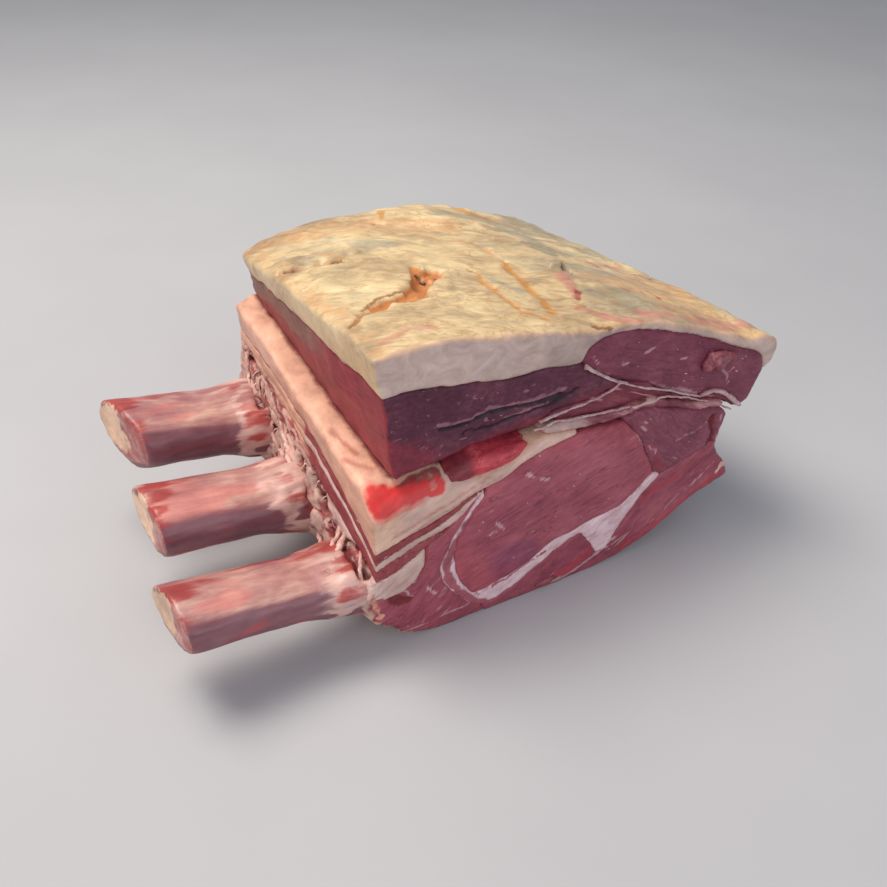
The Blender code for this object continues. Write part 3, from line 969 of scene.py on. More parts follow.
@dataclass
class BackFat(Tissue):
    """Thick back fat: streaked skin on top, smooth white cut faces, folds and a gouge."""

    skin_relief: float = 0.9
    skin_turn: float = -20.0
    fold_size: Point = (26.0, 8.0, 14.0)
    wrinkle_size: Point = (15.0, 3.6, 8.0)
    lump_size: Point = (13.0, 9.0, 9.0)
    light_size: Point = (60.0, 26.0, 60.0)
    patch_size: Point = (30.0, 12.0, 20.0)
    vein_size: Point = (34.0, 9.0, 20.0)
    vein_sharpness: float = 16.0
    # the right slope of the skin, where green paints shade
    shaded_slope: tuple[float, float] = (20.0, 62.0)
    rib_edge: tuple[float, float] = (-38.0, -56.0)
    rib_part: tuple[float, float] = (-4.0, -40.0)

    def shape(self, surface: Surface) -> None:
        """Wrinkle the skin and mark the cut faces.

        Args:
            surface: The fine mesh of the tissue.
        """
        top = surface.facing(Face.TOP, 0.30, 0.65)
        slanted = turned(surface.points, "Z", self.skin_turn)
        folds = cloud(slanted, self.fold_size, 11, 3)
        wrinkles = 1.0 - np.abs(cloud(slanted, self.wrinkle_size, 23, 2)) * 2.2
        lumps = cloud(surface.points, self.lump_size, 37, 3)
        surface.push(top * self.skin_relief * (0.9 * folds + 0.45 * np.clip(wrinkles, 0.0, 1.0)
                                               + 0.35 * lumps))
        surface.paint(Paint.WHITE, surface.facing(Face.NEAR))
        surface.paint(Paint.SIDE, surface.facing(Face.RIB))
        rim = surface.facing(Face.NEAR, 0.05, 0.45) * surface.facing(Face.TOP, 0.05, 0.45)
        surface.paint(Paint.RIM, rim)
        self.stain(surface, top, slanted)

    def stain(self, surface: Surface, top: Array, slanted: Array) -> None:
        """Tan, green and amber areas of the skin; the green also paints shade on the right slope.

        Args:
            surface: The fine mesh of the tissue.
            top: 1 on the skin, 0 on the cut faces.
            slanted: Positions turned to the run of the streaks.
        """
        mm = surface.mm
        light = noise(slanted, self.light_size, 77)
        surface.paint(Paint.TAN, smoothstep(0.15, 0.6, light) * top * 0.62)
        shaded_slope = smoothstep(*self.shaded_slope, mm[:, 0] + 0.25 * mm[:, 1])
        patches = smoothstep(-0.35, 0.35, cloud(slanted, self.patch_size, 83, 3))
        # green patches, stronger on the right slope as painted shade
        surface.paint(Paint.GREEN, top * (0.30 + 0.52 * shaded_slope) * patches)
        surface.paint(Paint.TAN, top * smoothstep(*self.rib_edge, mm[:, 0]) * 0.5)
        surface.paint(Paint.GREEN, top * smoothstep(*self.rib_part, mm[:, 0] - 0.3 * mm[:, 1]) * 0.42)
        # painted shade: green on skin that tilts away from the light on the right slope
        surface.paint(Paint.GREEN, surface.facing(Face.TOP, 0.98, 0.86) * top * shaded_slope * 0.7)
        veins = 1.0 - np.abs(cloud(slanted, self.vein_size, 87, 3)) * self.vein_sharpness
        surface.paint(Paint.AMBER, top * np.clip(veins, 0.0, 1.0) * patches * 0.5)


@dataclass
class CapMuscle(Tissue):
    """Muscle under the back fat: crimson rib side and dark purple near face, its own colour with
    painted light and shade.
    """

    brown_band: float = 11.0
    brown_from: tuple[float, float] = (-38.0, 5.0)
    edge_y: tuple[float, float] = (-74.0, 78.0)
    edge_z: tuple[float, float] = (119.0, 104.5)
    fibre_relief: float = 0.35
    fibre_size: Point = (9.0, 22.0, 1.9)
    fibre_turn: float = -13.0
    corner: tuple[float, float] = (-54.0, 84.0)
    corner_radius: tuple[float, float] = (30.0, 22.0)
    low_band: tuple[float, float] = (82.0, 93.0)
    low_rise: float = 0.10
    low_from: float = -52.0
    red_edge: tuple[float, float] = (-43.0, -54.0)
    red_height: tuple[float, float] = (112.0, 92.0)

    def shape(self, surface: Surface) -> None:
        """Run fibres along the rib side and set the colours of both cut faces, with painted light on
        the rib side.

        Args:
            surface: The fine mesh of the tissue.
        """
        side = surface.facing(Face.RIB)
        fibres = cloud(turned(surface.points, "X", self.fibre_turn), self.fibre_size, 41, 2)
        surface.push(side * self.fibre_relief * fibres)
        # painted light: the rib side gets a brighter crimson than the near face
        surface.paint(Paint.SIDE, side)
        x, y, z = surface.mm.T
        depth = np.interp(y, self.edge_y, self.edge_z) - z
        near_top = 1.0 - smoothstep(0.3 * self.brown_band, self.brown_band, depth)
        surface.paint(Paint.BROWN, side * near_top * smoothstep(*self.brown_from, y))
        near = surface.facing(Face.NEAR, 0.0, 0.5)
        low = 1.0 - smoothstep(*self.low_band, z - self.low_rise * (x - self.low_from))
        reach = np.hypot((x - self.corner[0]) / self.corner_radius[0],
                         (z - self.corner[1]) / self.corner_radius[1])
        surface.paint(Paint.UNDER, near * np.maximum(0.7 * low, 1.0 - smoothstep(0.4, 1.0, reach)))
        edge = x + 4.0 * cloud(surface.points, 7.0, 45, 3)
        surface.paint(Paint.UNDER, near * smoothstep(*self.red_edge, edge)
                      * smoothstep(*self.red_height, z) * 0.9)


@dataclass(frozen=True)
class BoneRoot:
    """Where a rib leaves the meat: the middle and half sizes of its section, mm."""

    y: float
    z: float
    half_y: float
    half_z: float


def bone_root(index: int) -> BoneRoot:
    """Section of a rib where it leaves the meat, from its solid.

    Args:
        index: Number of the rib, 1 to 3.

    Returns:
        The section's place and half sizes.
    """
    low, high = (np.array(c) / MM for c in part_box(f"rib_bone_{index}"))
    half_y = (high[1] - low[1]) / 2.0
    half_z = ROOT_HEIGHT * half_y
    return BoneRoot((low[1] + high[1]) / 2.0, low[2] + 0.86 * half_z + 2.0, half_y, half_z)


def torn(surface: Surface) -> Array:
    """1 on the rib side below the line where the tissue is torn off the bones.

    Args:
        surface: The tissue to look at.

    Returns:
        One value for each vertex.
    """
    mm = surface.mm
    line = np.interp(mm[:, 1], TORN_Y, TORN_Z)
    ragged = mm[:, 2] - line + 4.0 * cloud(surface.points, 9.0, 301, 3)
    return surface.facing(Face.RIB, 0.1, 0.5) * smoothstep(2.0, -2.0, ragged)


def fillet(surface: Surface) -> None:
    """Tear the rib side and draw it out towards each bone, as tissue that clings to it.

    Args:
        surface: The tissue to shape and paint.
    """
    flat = surface.flat(Face.RIB, 1.6)
    side = surface.facing(Face.RIB, 0.1, 0.5)
    zone = torn(surface)
    run = turned(surface.points, "X", TEAR_TURN)
    ridges = 1.0 - 2.6 * np.abs(cloud(run, TEAR_SIZE, 341, 3))
    surface.push(zone * (1.5 * cloud(surface.points, 7.0, 351, 3) + 0.9 * ridges))
    surface.paint(Paint.GRISTLE, zone * smoothstep(-0.2, 0.8, ridges) * 0.85)
    surface.paint(Paint.RAW, zone)
    for index in RIBS:
        root = bone_root(index)
        reach = np.hypot((flat[:, 0] - root.y) / root.half_y, (flat[:, 1] - root.z) / root.half_z)
        near = np.exp(-np.clip(reach - 1.0, 0.0, None) / 0.2)
        surface.shift((near * side)[:, None] * (-CLING, 0.0, 0.0))
        ring = near * side * smoothstep(-0.6, 0.2, cloud(surface.points, 6.0, 70 + index, 2))
        surface.paint(Paint.GRISTLE, ring)


@dataclass
class Layers(Tissue):
    """A side layer, which turns to plain fat along the back half of the rib side."""

    fat_from: tuple[float, float] = (-24.0, -2.0)

    def shape(self, surface: Surface) -> None:
        """Set where the layer is fatty and where it is torn.

        Args:
            surface: The fine mesh of the tissue.
        """
        side = surface.facing(Face.RIB, 0.2, 0.6)
        start = surface.mm[:, 1] + 9.0 * cloud(surface.points, 14.0, 311, 2)
        surface.paint(Paint.FATTY, side * smoothstep(*self.fat_from, start))
        fillet(surface)


@dataclass
class FoldFat(Tissue):
    """Folded pink fat between the loose flap and the block, whiter along its upper edge."""

    white_from: tuple[float, float] = (46.0, 26.0)
    white_size: Point = (16.0, 9.0, 3.0)
    red_size: Point = (20.0, 9.0, 4.0)

    def shape(self, surface: Surface) -> None:
        """Set its white run and its red run.

        Args:
            surface: The fine mesh of the tissue.
        """
        surface.paint(Paint.WHITE, smoothstep(*self.white_from, surface.mm[:, 0]) * 0.8)
        runs = cloud(surface.points, self.white_size, 321, 2)
        surface.paint(Paint.WHITE, smoothstep(0.25, 0.5, runs))
        surface.paint(Paint.RED, smoothstep(0.1, 0.5, cloud(surface.points, self.red_size, 331, 2)))


@dataclass
class CoverFat(Tissue):
    """Fat over the lower block: salmon on its bare top, white at the near face."""

    white_from: tuple[float, float] = (-62.0, -40.0)
    salmon_from: tuple[float, float] = (-30.0, -62.0)
    cap_edge_x: tuple[float, float] = (-56.0, -48.5)
    cap_edge_y: tuple[float, float] = (-71.0, -66.0)

    def shape(self, surface: Surface) -> None:
        """Set the colours of the faces and the shade below the cap.

        Args:
            surface: The fine mesh of the tissue.
        """
        x, y, _ = surface.mm.T
        near = surface.facing(Face.NEAR, 0.3, 0.8)
        surface.paint(Paint.WHITE, near * smoothstep(*self.white_from, x))
        surface.paint(Paint.SIDE, surface.facing(Face.RIB, 0.3, 0.7))
        top = surface.facing(Face.TOP, 0.2, 0.6)
        surface.paint(Paint.SALMON, top * smoothstep(*self.salmon_from, x))
        hidden = smoothstep(*self.cap_edge_x, x) * smoothstep(*self.cap_edge_y, y)
        surface.paint(Paint.SHADE, top * hidden)


@dataclass
class Tongue(Tissue):
    """Rounded red muscle that shows between the cap and the block."""

    shade_from: tuple[float, float] = (-12.0, -27.0)
    bulge: float = 1.6
    centre: tuple[float, float] = (-6.0, 80.0)
    radius: tuple[float, float] = (14.0, 6.0)

    def shape(self, surface: Surface) -> None:
        """Round its near end and shade its hidden end.

        Args:
            surface: The fine mesh of the tissue.
        """
        x, y, z = surface.mm.T
        surface.paint(Paint.SHADE, smoothstep(*self.shade_from, x - 0.4 * (y + 75.0)))
        bulge = np.exp(-(((x - self.centre[0]) / self.radius[0]) ** 2
                         + ((z - self.centre[1]) / self.radius[1]) ** 2))
        surface.push(self.bulge * bulge * surface.facing(Face.NEAR, 0.2, 0.7))


@dataclass
class EyeMuscle(Tissue):
    """Large mauve muscle of the near face, faintly domed."""

    dome: float = 0.8
    centre: tuple[float, float] = (24.0, 46.0)
    radius: tuple[float, float] = (48.0, 34.0)
    fibre_relief: float = 0.22
    fibre_size: Point = (16.0, 9.0, 2.6)
    fibre_turn: float = 17.0
    violet_size: float = 24.0

    def shape(self, surface: Surface) -> None:
        """Dome the near face and set its violet and red areas.

        Args:
            surface: The fine mesh of the tissue.
        """
        mm = surface.mm
        near = surface.facing(Face.NEAR, 0.3, 0.8)
        u = (mm[:, 0] - self.centre[0]) / self.radius[0]
        v = (mm[:, 2] - self.centre[1]) / self.radius[1]
        surface.push(self.dome * near * np.clip(1.0 - u * u - v * v, 0.0, 1.0))
        fibres = cloud(turned(surface.points, "Y", self.fibre_turn), self.fibre_size, 61, 2)
        surface.push(self.fibre_relief * near * fibres)
        surface.paint(Paint.VIOLET, smoothstep(0.1, 0.7, noise(surface.points, self.violet_size, 91)))
        surface.paint(Paint.RED, smoothstep(0.5, 1.15, np.hypot(u, v)) * 0.7)


@dataclass
class SideMuscle(Tissue):
    """Lower muscle beside the bones, raw and ragged on the rib side."""

    line_height: float = 9.0
    line_rise: float = 0.06
    line_width: float = 1.2
    line_from: tuple[float, float] = (-58.0, -50.0)

    def shape(self, surface: Surface) -> None:
        """Set the raw rib side and the pale line low on the near face.

        Args:
            surface: The fine mesh of the tissue.
        """
        x, _, z = surface.mm.T
        surface.paint(Paint.RAW, surface.facing(Face.RIB, 0.1, 0.5))
        gap = np.abs(z - self.line_height - self.line_rise * x) / self.line_width
        surface.paint(Paint.MEMBRANE, np.clip(0.75 - gap, 0.0, 1.0) * surface.facing(Face.NEAR)
                      * smoothstep(*self.line_from, x))
        fillet(surface)


@dataclass
class RibBone(Tissue):
    """A scraped rib: sawn end, dark ragged rim, bloody streaks, a torn collar at its root and painted
    shade on the side turned from the light.
    """

    index: int = 1
    collar: float = 2.6
    seed: int = 3
    ridge: float = 0.7
    ridge_size: Point = (42.0, 10.0, 10.0)
    scrape: float = 0.2
    scrape_size: Point = (26.0, 2.4, 2.4)
    root_from: tuple[float, float] = (-90.0, -64.0)
    gristle_from: tuple[float, float] = (-90.0, -72.0)
    red_from: tuple[float, float] = (-86.0, -70.0)
    shred_size: Point = (14.0, 5.0, 5.0)
    blush_size: Point = (30.0, 8.0, 8.0)
    patch_size: Point = (15.0, 6.0, 6.0)
    end_depth: tuple[float, float] = (16.0, 9.0)
    tip_length: float = 15.0
    sunken: float = 0.8
    # how much across and up count towards the light; sets where shade is painted
    light_way: tuple[float, float] = (0.64, 0.77)

    def shape(self, surface: Surface) -> None:
        """Add ridges and the collar, and paint the bone, with painted shade on the side turned from the
        light.

        Args:
            surface: The fine mesh of the tissue.
        """
        x, y, z = surface.mm.T
        low = x.min()
        root = bone_root(self.index)
        across = (y - np.polyval(np.polyfit(x, y, 2), x)) / root.half_y
        up = (z - np.polyval(np.polyfit(x, z, 2), x)) / root.half_z
        deep, shallow = self.end_depth
        end = surface.facing(Face.RIB, 0.55, 0.85) * smoothstep(low + deep, low + shallow, x)
        shaft = 1.0 - end
        along = turned(surface.points, "X", 20.0 * self.index)
        surface.push(shaft * self.ridge * cloud(along, self.ridge_size, 101 + self.index, 3))
        surface.push(shaft * self.scrape * cloud(along, self.scrape_size, 131 + self.index, 2))
        torn_edge = x + 8.0 * cloud(surface.points, 9.0, 151 + self.index, 2)
        shreds = 1.0 - 2.4 * np.abs(cloud(along, self.shred_size, 155 + self.index, 2))
        surface.push(smoothstep(*self.root_from, torn_edge) * (self.collar + 0.9 * shreds))
        surface.paint(Paint.GRISTLE, smoothstep(*self.gristle_from, torn_edge)
                      * smoothstep(-0.3, 0.5, shreds))
        turn = self.light_way[0] * across + self.light_way[1] * up
        blush = cloud(along, self.blush_size, 161, 2)
        # painted shade: the side of the shaft turned from the light is darkened
        surface.paint(Paint.BELLY, shaft * smoothstep(0.26, -0.26, turn))
        surface.paint(Paint.BLUSH, shaft * smoothstep(-0.1, 0.5, blush))
        spots = cloud(surface.points, self.patch_size, 171 + self.index, 2)
        patches = smoothstep(-0.25, 0.4, spots)
        tip = 1.0 - smoothstep(1.0, self.tip_length, x - low - 6.0 * patches)
        crest = smoothstep(0.62, 0.92, turn) + 0.8 * smoothstep(-0.25, -0.6, turn)
        surface.paint(Paint.RED, shaft * tip * (0.35 + 0.65 * patches))
        surface.paint(Paint.RED, shaft * np.clip(crest, 0.0, 1.0) * patches * 0.62)
        surface.paint(Paint.RED, smoothstep(*self.red_from, torn_edge) * patches * 0.75)
        # dark rim near the sawn end, kept to the side turned from the light: the end's dark red, partly
        # painted shade
        surface.paint(Paint.RIM, shaft * smoothstep(low + 9.0, low + 1.0, x - 3.0 * across)
                      * smoothstep(-0.2, -0.7, turn) * 0.9)
        surface.paint(Paint.RED, end * (0.45 + 0.4 * patches))
        surface.paint(Paint.RIM, end * smoothstep(0.55, 0.85, turn) * 0.8)
        self.saw(surface, end, across, up)

    def saw(self, surface: Surface, end: Array, across: Array, up: Array) -> None:
        """Pale bone, dark rim and rough grain of the sawn end.

        Args:
            surface: The fine mesh of the tissue.
            end: 1 on the sawn end.
            across: Place across the rib, -1 to 1.
            up: Place up the rib, -1 to 1.
        """
        radial = np.hypot(across, up)
        bare = across + 0.45 * cloud(surface.points, 5.0, 185, 3)
        surface.paint(Paint.SAWN, end * smoothstep(-0.46, 0.06, bare) * smoothstep(-0.85, -0.5, up))
        surface.paint(Paint.RIM, end * smoothstep(0.72, 0.95, radial) * smoothstep(0.3, -0.4, up + 0.3))
        surface.push(end * smoothstep(0.7, 0.3, radial) * -self.sunken)
        surface.push(end * 0.3 * cloud(surface.points, 2.6, 181, 2))


# ---------------------------------------------------------------- what repeats or follows a path
class Growth:
    """A geometry node tree with named inputs, run once on a piece."""

    def __init__(self, name: str, inputs: dict[str, float | int]) -> None:
        """Start a tree.

        Args:
            name: The tree's name.
            inputs: Each named number and its default.
        """
        self.tree = bpy.data.node_groups.new(name, "GeometryNodeTree")
        face = self.tree.interface
        face.new_socket("Geometry", in_out="INPUT", socket_type="NodeSocketGeometry")
        face.new_socket("Geometry", in_out="OUTPUT", socket_type="NodeSocketGeometry")
        for label, value in inputs.items():
            kind = "NodeSocketInt" if isinstance(value, int) else "NodeSocketFloat"
            face.new_socket(label, in_out="INPUT", socket_type=kind).default_value = value
        self.start = self.tree.nodes.new("NodeGroupInput")
        self.end = self.tree.nodes.new("NodeGroupOutput")

    def node(self, kind: str, **inputs: object) -> bpy.types.Node:
        """Add a node; inputs are named with underscores for spaces and joined or set.

        Args:
            kind: The node's type.
            inputs: Sockets to join or values to set, by input name.

        Returns:
            The new node.
        """
        item = self.tree.nodes.new(kind)
        for label, value in inputs.items():
            self.feed(item, label.replace("_", " "), value)
        return item

    def feed(self, item: bpy.types.Node, label: str | int, value: object) -> None:
        """Join a socket to an input, or set its number.

        Args:
            item: The node.
            label: The input's name or place.
            value: A socket to join, or a value to set.
        """
        socket = item.inputs[label]
        if isinstance(value, Socket):
            self.tree.links.new(value, socket)
        else:
            socket.default_value = value

    def maths(self, kind: str, first: object, second: object) -> Socket:
        """One step of arithmetic.

        Args:
            kind: The operation.
            first: Its first value, a socket or a number.
            second: Its second value, a socket or a number.

        Returns:
            The result.
        """
        item = self.tree.nodes.new("ShaderNodeMath")
        item.operation = kind
        self.feed(item, 0, first)
        self.feed(item, 1, second)
        return item.outputs[0]

    def attribute(self, name: str) -> Socket:
        """A named number of the mesh."""
        return self.node("GeometryNodeInputNamedAttribute", Name=name).outputs[0]

    def shake(self, scale: float, amount: object) -> Socket:
        """A noise vector of a given strength.

        Args:
            scale: The noise's features per metre.
            amount: Its strength, a socket or a number.

        Returns:
            The noise vector.
        """
        tex = self.node("ShaderNodeTexNoise", Scale=scale, Detail=2.0)
        centred = self.tree.nodes.new("ShaderNodeVectorMath")
        centred.operation = "SUBTRACT"
        self.feed(centred, 0, tex.outputs["Color"])
        centred.inputs[1].default_value = (0.5, 0.5, 0.5)
        scaled = self.tree.nodes.new("ShaderNodeVectorMath")
        scaled.operation = "SCALE"
        self.feed(scaled, 0, centred.outputs[0])
        self.feed(scaled, "Scale", amount)
        return scaled.outputs[0]

    def close(self, geometry: Socket, material: bpy.types.Material) -> None:
        """End the tree: realize, shade smooth and set the material.

        Args:
            geometry: The last geometry.
            material: The material it gets.
        """
        real = self.node("GeometryNodeRealizeInstances", Geometry=geometry)
        smooth = self.node("GeometryNodeSetShadeSmooth", Geometry=real.outputs[0])
        paint = self.node("GeometryNodeSetMaterial", Geometry=smooth.outputs[0])
        paint.inputs["Material"].default_value = material
        self.tree.links.new(paint.outputs[0], self.end.inputs[0])

    def run(self, piece: bpy.types.Object, values: dict[str, float | int]) -> None:
        """Run the tree on a piece and keep the result as its mesh.

        Args:
            piece: The object to run it on.
            values: Value of each named input.
        """
        modifier = piece.modifiers.new("growth", "NODES")
        modifier.node_group = self.tree
        for item in self.tree.interface.items_tree:
            if item.in_out == "INPUT" and item.name in values:
                modifier[item.identifier] = values[item.name]
        grown = evaluated(piece)
        old = piece.data
        piece.modifiers.remove(modifier)
        piece.data = grown
        bpy.data.meshes.remove(old)


def declare(piece: bpy.types.Object) -> None:
    """Let a piece ride the roast and log how many faces it has.

    Args:
        piece: The finished piece.
    """
    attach(piece, BODY)
    LOG.info("%s: %d faces", piece.name, len(piece.data.polygons))


@dataclass(frozen=True)
class Thread:
    """A strand's route in mm and its thickness at the start and the end."""

    route: tuple[Point, ...]
    thick: tuple[float, float] = (0.8, 0.3)


@dataclass
class Strands:
    """Threads or ribbons of torn tissue that follow their routes."""

    name: str
    slot: str
    finish: Finish
    threads: Sequence[Thread]
    flat: float = 1.0
    wander: float = 1.2
    step: float = 1.2
    seed: int = 0

    def growth(self) -> Growth:
        """Tree that turns the routes into bodies of uneven thickness.

        Returns:
            The finished tree.
        """
        tool = Growth(self.name + "_growth", {"Wander": 1.0, "Step": 1.0, "Flatness": 1.0})
        start = tool.start.outputs
        curve = tool.node("GeometryNodeMeshToCurve", Mesh=start["Geometry"]).outputs[0]
        even = tool.node("GeometryNodeResampleCurve", Curve=curve)
        even.mode = "LENGTH"
        tool.feed(even, "Length", start["Step"])
        moved = tool.node("GeometryNodeSetPosition", Geometry=even.outputs[0],
                          Offset=tool.shake(190.0 + self.seed, start["Wander"]))
        bump = tool.node("ShaderNodeTexNoise", Scale=420.0 + self.seed, Detail=2.0).outputs["Fac"]
        uneven = tool.maths("MULTIPLY", tool.attribute("thick"), tool.maths("ADD", bump, 0.5))
        ring = tool.node("GeometryNodeCurvePrimitiveCircle", Resolution=8, Radius=1.0).outputs[0]
        squash = tool.node("ShaderNodeCombineXYZ", X=1.0, Y=start["Flatness"], Z=1.0).outputs[0]
        ring = tool.node("GeometryNodeTransform", Geometry=ring, Scale=squash).outputs[0]
        body = tool.node("GeometryNodeCurveToMesh", Curve=moved.outputs[0], Profile_Curve=ring,
                         Scale=uneven, Fill_Caps=True)
        tool.close(body.outputs[0], self.finish.build())
        return tool

    def build(self) -> bpy.types.Object:
        """Returns:
            The finished piece.
        """
        work = bmesh.new()
        layer = work.verts.layers.float.new("thick")
        for thread in self.threads:
            last = None
            count = len(thread.route)
            for k, point in enumerate(thread.route):
                vert = work.verts.new(Vector(point) * MM)
                share = k / max(count - 1, 1)
                vert[layer] = (thread.thick[0] * (1.0 - share) + thread.thick[1] * share) * MM
                if last is not None:
                    work.edges.new((last, vert))
                last = vert
        mesh = bpy.data.meshes.new(self.name)
        work.to_mesh(mesh)
        work.free()
        piece = link(self.name, mesh)
        self.growth().run(piece, {"Wander": self.wander * MM, "Step": self.step * MM,
                                  "Flatness": self.flat})
        declare(piece)
        return piece


@dataclass
class Flecks:
    """Small pale slivers of fat that lie in the near cut face of a muscle."""

    source: bpy.types.Object
    slot: str
    finish: Finish
    density: float
    turn: float
    length: float = 1.3
    seed: int = 1
    width: float = 0.22
    height: float = 0.36
    spread: float = 35.0
    smallest: float = 0.15

    def build(self) -> bpy.types.Object:
        """Returns:
            The finished piece.
        """
        name = self.source.name.replace("_flesh", "_flecks")
        tool = Growth(name + "_growth", {"Density": 1.0, "Length": 1.0, "Seed": 1})
        start = tool.start.outputs
        chosen = tool.maths("GREATER_THAN", tool.attribute(Paint.NEAR.value), 0.9)
        spots = tool.node("GeometryNodeDistributePointsOnFaces", Mesh=start["Geometry"],
                          Density=start["Density"], Seed=start["Seed"], Selection=chosen)
        sliver = tool.node("GeometryNodeMeshIcoSphere", Radius=1.0, Subdivisions=2).outputs[0]
        dented = tool.node("GeometryNodeSetPosition", Geometry=sliver, Offset=tool.shake(1.1, 0.7))
        thin = tool.node("ShaderNodeCombineXYZ", X=1.0, Y=self.width, Z=self.height).outputs[0]
        shaped = tool.node("GeometryNodeTransform", Geometry=dented.outputs[0], Scale=thin)
        angle = self.random(tool, math.radians(-self.turn - self.spread),
                            math.radians(self.spread - self.turn))
        turn = tool.node("ShaderNodeCombineXYZ", Y=angle).outputs[0]
        size = self.random(tool, self.smallest, 1.0)
        size = tool.maths("MULTIPLY", tool.maths("POWER", size, 2.2), start["Length"])
        placed = tool.node("GeometryNodeInstanceOnPoints", Points=spots.outputs[0],
                           Instance=shaped.outputs[0], Rotation=turn, Scale=size)
        tool.close(placed.outputs[0], self.finish.build())
        piece = link(name, self.source.data.copy())
        tool.run(piece, {"Density": self.density, "Length": self.length * MM, "Seed": self.seed})
        declare(piece)
        return piece

    @staticmethod
    def random(tool: Growth, low: float, high: float) -> Socket:
        """A random number for each sliver.

        Args:
            tool: The tree being built.
            low: Smallest value.
            high: Largest value.

        Returns:
            The random value.
        """
        item = tool.node("FunctionNodeRandomValue")
        item.inputs[2].default_value = low
        item.inputs[3].default_value = high
        return item.outputs[1]


@dataclass(frozen=True)
class Lump:
    """A torn lump of tissue: its middle and half sizes in mm."""

    centre: Point
    size: Point
    turn: Point = (0.0, 0.0, 0.0)


@dataclass
class Lumps:
    """Lumps that are joined into one uneven piece."""

    name: str
    slot: str
    finish: Finish
    lumps: Sequence[Lump]
    rough: float = 1.0
    voxel: float = 0.7
    seed: int = 1
    coarse_size: float = 6.0
    fine_size: float = 1.9
    red_size: float = 5.0

    def build(self) -> bpy.types.Object:
        """Returns:
            The finished piece.
        """
        work = bmesh.new()
        for lump in self.lumps:
            turn = Matrix.Identity(3)
            for axis, angle in zip("XYZ", lump.turn):
                turn = Matrix.Rotation(math.radians(angle), 3, axis) @ turn
            place = Matrix.LocRotScale(Vector(lump.centre) * MM, turn.to_quaternion(),
                                       Vector(lump.size) * MM)
            bmesh.ops.create_icosphere(work, subdivisions=3, radius=1.0, matrix=place)
        surface = refined(self.name, work, self.voxel)
        surface.smooth(4)
        surface.push(self.rough * cloud(surface.points, self.coarse_size, self.seed, 2))
        surface.push(0.35 * self.rough * cloud(surface.points, self.fine_size, self.seed + 3, 2))
        red = cloud(surface.points, self.red_size, self.seed + 5, 2)
        surface.paint(Paint.RED, smoothstep(0.05, 0.5, red))
        surface.finish()
        piece = link(self.name, surface.mesh)
        surface.mesh.materials.clear()
        surface.mesh.materials.append(self.finish.build())
        declare(piece)
        return piece


# ---------------------------------------------------------------- the roast
TOP, NEAR, RIB = Face.TOP, Face.NEAR, Face.RIB

GOUGE = ((-46.0, -38.5), (-33.0, -31.0), (-22.0, -31.0), (-13.0, -22.0), (-2.0, -11.0))
FOLD = ((-56.0, 24.5), (-49.6, 19.8), (-39.8, 18.6), (-30.0, 17.0))
AMBER_LEFT = ((17.9, -12.2), (14.3, -26.9), (11.5, -42.9), (11.6, -55.8), (18.3, -61.8))
AMBER_RIGHT = ((37.0, -2.5), (36.0, -10.6), (33.8, -21.9), (29.8, -35.6), (27.3, -48.7),
               (26.0, -56.0))
